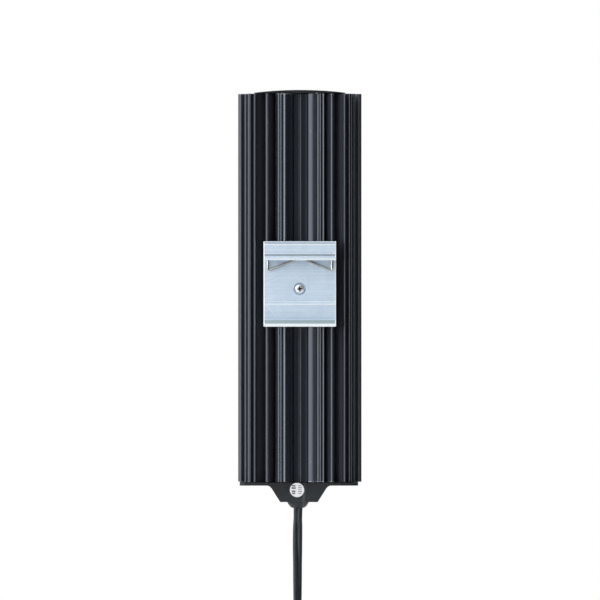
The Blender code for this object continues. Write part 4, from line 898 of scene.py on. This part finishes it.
def buildProfile(shape):
    # each loop becomes a wall of four rings with softened ends; the end faces fill what lies
    # between the outline and its holes
    loops, wear = profileLoops(shape)
    if signedArea(loops[0]) < 0:
        loops[0], wear = loops[0][::-1], wear[::-1]
    soft = shape["endSoft"]
    verts, faces, ends = [], [], ([], [])
    start = 0
    for number, loop in enumerate(loops):
        outer = number == 0
        if (signedArea(loop) > 0) != outer:
            loop = loop[::-1]
        inner = shrink(loop, soft)
        low, high = shape["low"], shape["high"]
        levels = ((low, inner), (low + soft, loop), (high - soft, loop), (high, inner))
        rings = np.stack([np.column_stack([ring, np.full(len(ring), z)]) for z, ring in levels])
        count = len(loop)
        verts.append(rings.reshape(-1, 3))
        faces += gridFaces(4, count, start).tolist()
        ends[0].append((inner, np.arange(count) + start))
        ends[1].append((inner, np.arange(count) + start + 3 * count))
        start += 4 * count
    for upper, rims in enumerate(ends):
        index = np.concatenate([ids for _, ids in rims])
        rimLines = [[Vector((x, y, 0.0)) for x, y in rim] for rim, _ in rims]
        triangles = np.array(geometry.tessellate_polygon(rimLines))
        flat = np.concatenate([rim for rim, _ in rims])
        first, second = (flat[triangles[:, k]] - flat[triangles[:, 0]] for k in (1, 2))
        cross = first[:, 0] * second[:, 1] - first[:, 1] * second[:, 0]
        wrong = (cross > 0) != bool(upper)
        triangles[wrong] = triangles[wrong][:, (0, 2, 1)]
        faces += index[triangles].tolist()
    allVerts = np.concatenate(verts)
    piece = meshFromArrays("finProfile", allVerts, faces, 32.0)
    markValleys(piece, allVerts[:, :2], loops[0], shape)
    markWearAndHighlight(piece, wear, len(allVerts))
    return piece


finProfile = buildProfile(profileShape)
place(finProfile, "black_anodised", anodised, "heatsink_extrusion")
print("stage: profile made,", len(finProfile.data.polygons), "faces")


# Moulded and drawn pieces: the nodes' own forms with rounded edges
edgeRadii = {
    "connection_box": ("connectionBox", "black_moulding", "boxMoulding", 0.00035),
    "top_cap": ("topCap", "black_moulding", "charcoalMoulding", 0.00035),
    "box_cover": ("boxCover", "black_moulding", "charcoalMoulding", 0.00030),
    "cord_clamp": ("cordClamp", "black_moulding", "charcoalMoulding", 0.00025),
    "rail_clip": ("railClip", "clip_aluminium", "clipAluminium", 0.00018),
}
for nodeName, (pieceName, slotName, finishName, width) in edgeRadii.items():
    place(refined(nodeName, pieceName, width), slotName, finishes[finishName], nodeName)
print("stage: rounded pieces made")


# Screws: a head with a recess, and a shank with a thread, turned about the screw's own line
screwKinds = {
    # shares of the head's height and radius
    "pan": {"dome": 0.65, "depth": 0.62, "halfWidth": 0.15, "reach": 0.56},
    "flat": {"dome": 0.0, "depth": 0.75, "halfWidth": 0.13, "reach": 0.56},
}
screwTable = {
    # nodes: kind, way that the head faces, head height, shank radius, turns of the recesses in degrees
    "clip_screw": ("pan", "-Y", 0.0018, 0.0015, {"": 4}),
    "top_cap_screw": ("flat", "+Z", 0.0009, 0.0013, {"_1": 20, "_2": 65, "_3": 38, "_4": 82}),
    "box_screw": ("flat", "-Z", 0.0009, 0.0013, {"_left": 50, "_right": 12}),
    "cover_screw": ("pan", "+Y", 0.0011, 0.0008, {"_left": 30, "_right": 71}),
    "clamp_screw": ("pan", "+Y", 0.0011, 0.0008, {"_left": 10, "_right": 55}),
}
# shares of the head's or the shank's radius, or of the head's height
screwForm = {
    "side": ((0.995, 0.75), (0.995, 0.95), (0.96, 1.0)),  # of a pan head: radius and drop
    "flatRim": 0.08,
    "armSide": 0.05,  # of the recess's cross: how far its sides and its ends slope, and its rise outwards
    "armEnd": 0.10,
    "rise": 0.45,
    "pitch": 0.62,
    "root": 0.84,
    "threadEnd": 0.6,
    "point": ((0.8, 0.5), (0.35, 0.0)),  # radius, and height above the point
    "columns": 96,
    "rings": 30,
}
screwAxes = {
    "-Y": ((1, 0, 0), (0, 0, 1), (0, -1, 0)),
    "+Y": ((-1, 0, 0), (0, 0, 1), (0, 1, 0)),
    "+Z": ((1, 0, 0), (0, 1, 0), (0, 0, 1)),
    "-Z": ((1, 0, 0), (0, -1, 0), (0, 0, -1)),
}


def recessDepth(x, y, look):
    # an arm is a bar whose sides fall off over a narrow edge; the cross is the deeper of two arms
    def arm(u, v):
        across = np.clip((look["halfWidth"] - np.abs(v)) / screwForm["armSide"], 0.0, 1.0)
        return across * np.clip((look["reach"] - np.abs(u)) / screwForm["armEnd"], 0.0, 1.0)

    outwards = np.minimum(1.0, np.hypot(x, y) / look["reach"])
    return np.maximum(arm(x, y), arm(y, x)) * (1 - screwForm["rise"] * outwards)


def screwPiece(nodeName, pieceName, facts, turn):
    # rows of rings: the head's top from its middle to its rim, its side, the thread and the point
    kind, facing, headHeight, shankRadius = facts
    look = screwKinds[kind]
    low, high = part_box(nodeName)
    axes = np.array(screwAxes[facing], float)
    centre = (np.array(low) + np.array(high)) / 2
    span = np.array(high) - np.array(low)
    total = abs(float(span @ axes[2]))
    radius = float(abs(span @ axes[0])) / 2
    face = centre + axes[2] * total / 2
    columns = screwForm["columns"]
    angle = np.arange(columns) * 2 * np.pi / columns
    share = np.linspace(0.03, 1.0, screwForm["rings"])[:, None]
    drop = look["dome"] * headHeight * (1 - np.sqrt(np.maximum(0.0, 1 - share**4)))
    x, y = share * np.cos(angle - math.radians(turn)), share * np.sin(angle - math.radians(turn))
    top = -drop - look["depth"] * headHeight * recessDepth(x, y, look)
    topRows = [(radius * s, h) for s, h in zip(np.broadcast_to(share, top.shape), top)]
    if kind == "flat":
        side = [(radius, -screwForm["flatRim"] * headHeight)]
    else:
        side = [(radius * across, -drop * headHeight) for across, drop in screwForm["side"]]
    side.append((shankRadius, -headHeight))
    sideRows = [(np.full(columns, r), np.full(columns, h)) for r, h in side]
    pitch = shankRadius * screwForm["pitch"]
    depths = np.arange(headHeight + pitch, total - shankRadius * screwForm["threadEnd"], pitch / 4)
    wave = (depths[:, None] / pitch - angle[None, :] / (2 * np.pi)) % 1.0
    ridge = np.abs(wave - 0.5) * 2
    root = screwForm["root"]
    threadRows = [(shankRadius * (root + (1 - root) * r), np.full(columns, -d)) for r, d in zip(ridge, depths)]
    tip = [(shankRadius * across, shankRadius * above - total) for across, above in screwForm["point"]]
    tipRows = [(np.full(columns, r), np.full(columns, h)) for r, h in tip]
    rows = topRows + sideRows + threadRows + tipRows
    radii = np.stack([r for r, _ in rows])
    heights = np.stack([h for _, h in rows])
    local = np.stack([radii * np.cos(angle), radii * np.sin(angle), heights], -1)
    piece = closedTube(pieceName, local @ axes + face, 32.0)
    # painted shade in the recess, following its depth
    grime = np.zeros(len(piece.data.vertices), np.float32)
    inRecess = recessDepth(x, y, look).ravel()
    grime[:len(inRecess)] = np.minimum(1.0, inRecess * 1.5)
    grime[-2] = 1.0  # the middle of the head, where the painted shade is full
    piece.data.attributes.new("grime", "FLOAT", "POINT").data.foreach_set("value", grime)
    place(piece, "steel", finishes["brightSteel"], nodeName)


for baseName, (*screwFacts, screwTurns) in screwTable.items():
    for ending, screwTurn in screwTurns.items():
        words = (baseName + ending).split("_")
        pieceName = words[0] + "".join(word.capitalize() for word in words[1:])
        screwPiece(baseName + ending, pieceName, screwFacts, screwTurn)
print("stage: screws made")


# Finishes of the nodes that keep their own shape
nodeFinish = {
    "brightSteel": (
        "push_terminal_1", "push_terminal_2", "terminal_screw_left", "terminal_screw_right", "ferrule_1", "ferrule_2",
    ),
    "springWire": ("clip_spring",),
    "plainAluminium": ("back_electrode", "front_electrode", "pressure_bar"),
    "kilnCeramic": (
        "heating_stone_1", "heating_stone_2", "heating_stone_3", "heating_stone_4", "upper_insulator",
        "lower_insulator", "terminal_block",
    ),
    "amberFilm": ("insulating_sleeve",),
    "redSilicone": ("inner_lead_1", "inner_lead_2"),
    "brownCore": ("cord_core_1", "core_end_1"),
    "blueCore": ("cord_core_2", "core_end_2"),
    "tieBand": ("hank_tie",),
}


def finishNodes():
    for finish, names in nodeFinish.items():
        for name in names:
            nodes[name].data.materials.clear()
            nodes[name].data.materials.append(finishes[finish])
    stickerLow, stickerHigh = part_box("inspection_sticker")
    middle = ((stickerLow.x + stickerHigh.x) / 2, (stickerLow.z + stickerHigh.z) / 2)
    sticker = nodes["inspection_sticker"]
    sticker.data.materials.clear()
    sticker.data.materials.append(stickerFinish(stickerLook, middle))


finishNodes()
print("stage: nodes finished")


# Studio: a pale room, brighter to the left, and a pale floor well below
studio = {
    "floorLevel": -0.345,
    "floorHalf": 3.0,
    "floorColour": (0.80, 0.80, 0.80),
    "floorShade": (0.78, 0.78, 0.78),
    # brightness of the room by bearing: 0 looks to the camera, left is positive, in degrees
    "room": (
        (-180, 0.90), (-130, 0.70), (-95, 0.40), (-70, 0.06), (-25, 0.03), (-10, 0.08), (0, 0.17), (10, 0.35),
        (20, 1.20), (32, 2.60), (54, 3.20), (72, 3.10), (88, 1.60), (110, 1.00), (140, 1.00), (180, 0.90),
    ),
    "key": {"place": (-1.15, -0.55, 0.75), "size": 0.9, "watts": 5.0},
    "fill": {"place": (0.3, -1.3, 1.2), "size": 1.2, "watts": 2.0},
    "rear": {"place": (0.7, 1.2, 0.7), "size": 1.0, "watts": 8.0},
}


def makeWorld(facts):
    world = bpy.data.worlds.new("studioRoom")
    scene.world = world
    world.use_nodes = True
    tree = world.node_tree
    tree.nodes.clear()
    axes = axesOf(tree, tree.nodes.new("ShaderNodeTexCoord").outputs["Generated"])
    bearing = mathNode(tree, "ARCTAN2", times(tree, axes["X"], -1.0), times(tree, axes["Y"], -1.0))
    share = rangeNode(tree, bearing, (-math.pi, math.pi))
    ramp = tree.nodes.new("ShaderNodeValToRGB")
    link(tree, share, ramp.inputs["Fac"])
    ramp.color_ramp.interpolation = "EASE"
    stops = facts["room"]
    peak = max(level for _, level in stops)
    elements = ramp.color_ramp.elements
    while len(elements) < len(stops):
        elements.new(0.5)
    for element, (angle, level) in zip(elements, stops):
        element.position = (angle + 180) / 360
        grey = level / peak
        element.color = (grey * 0.97, grey * 0.99, grey, 1.0)
    room = tree.nodes.new("ShaderNodeBackground")
    link(tree, ramp.outputs["Color"], room.inputs["Color"])
    room.inputs["Strength"].default_value = peak
    seen = tree.nodes.new("ShaderNodeBackground")
    seen.inputs["Color"].default_value = (1.0, 1.0, 1.0, 1.0)
    seen.inputs["Strength"].default_value = 1.0
    path = tree.nodes.new("ShaderNodeLightPath")
    straight = mathNode(tree, "MAXIMUM", path.outputs["Is Camera Ray"], path.outputs["Is Transmission Ray"])
    choice = tree.nodes.new("ShaderNodeMixShader")
    link(tree, straight, choice.inputs["Fac"])
    link(tree, room.outputs[0], choice.inputs[1])
    link(tree, seen.outputs[0], choice.inputs[2])
    output = tree.nodes.new("ShaderNodeOutputWorld")
    link(tree, choice.outputs[0], output.inputs["Surface"])


def addLamp(name, facts):
    lamp = bpy.data.lights.new(name, "AREA")
    lamp.shape = "SQUARE"
    lamp.size = facts["size"]
    lamp.energy = facts["watts"]
    holder = bpy.data.objects.new(name, lamp)
    scene.collection.objects.link(holder)
    holder.location = facts["place"]
    aim = Vector((0.0, 0.02, 0.0)) - Vector(facts["place"])
    holder.rotation_euler = aim.to_track_quat("-Z", "Y").to_euler()


def addFloor(facts):
    half, level = facts["floorHalf"], facts["floorLevel"]
    corners = np.array([[-half, -half, level], [half, -half, level], [half, half, level], [-half, half, level]])
    floor = meshFromArrays("studioFloor", corners, [[0, 1, 2, 3]])
    material, tree, surface, vector = startMaterial("floorPaint")
    grain = useGroup(tree, grainGroup, vector, Scale=60.0, Blotch=0.1)
    colour = mixColour(tree, grain["Fine"], facts["floorColour"], facts["floorShade"])
    link(tree, colour, surface.inputs["Base Color"])
    surface.inputs["Roughness"].default_value = 0.7
    # seen from below, the floor is clear
    under = tree.nodes.new("ShaderNodeNewGeometry")
    clear = tree.nodes.new("ShaderNodeBsdfTransparent")
    choice = tree.nodes.new("ShaderNodeMixShader")
    link(tree, under.outputs["Backfacing"], choice.inputs["Fac"])
    link(tree, surface.outputs["BSDF"], choice.inputs[1])
    link(tree, clear.outputs["BSDF"], choice.inputs[2])
    link(tree, choice.outputs["Shader"], tree.nodes["Material Output"].inputs["Surface"])
    floor.data.materials.append(material)


makeWorld(studio)
for lampName in ("key", "fill", "rear"):
    addLamp(lampName + "Lamp", studio[lampName])
addFloor(studio)
scene.view_settings.view_transform = "Standard"
print("stage: studio made")
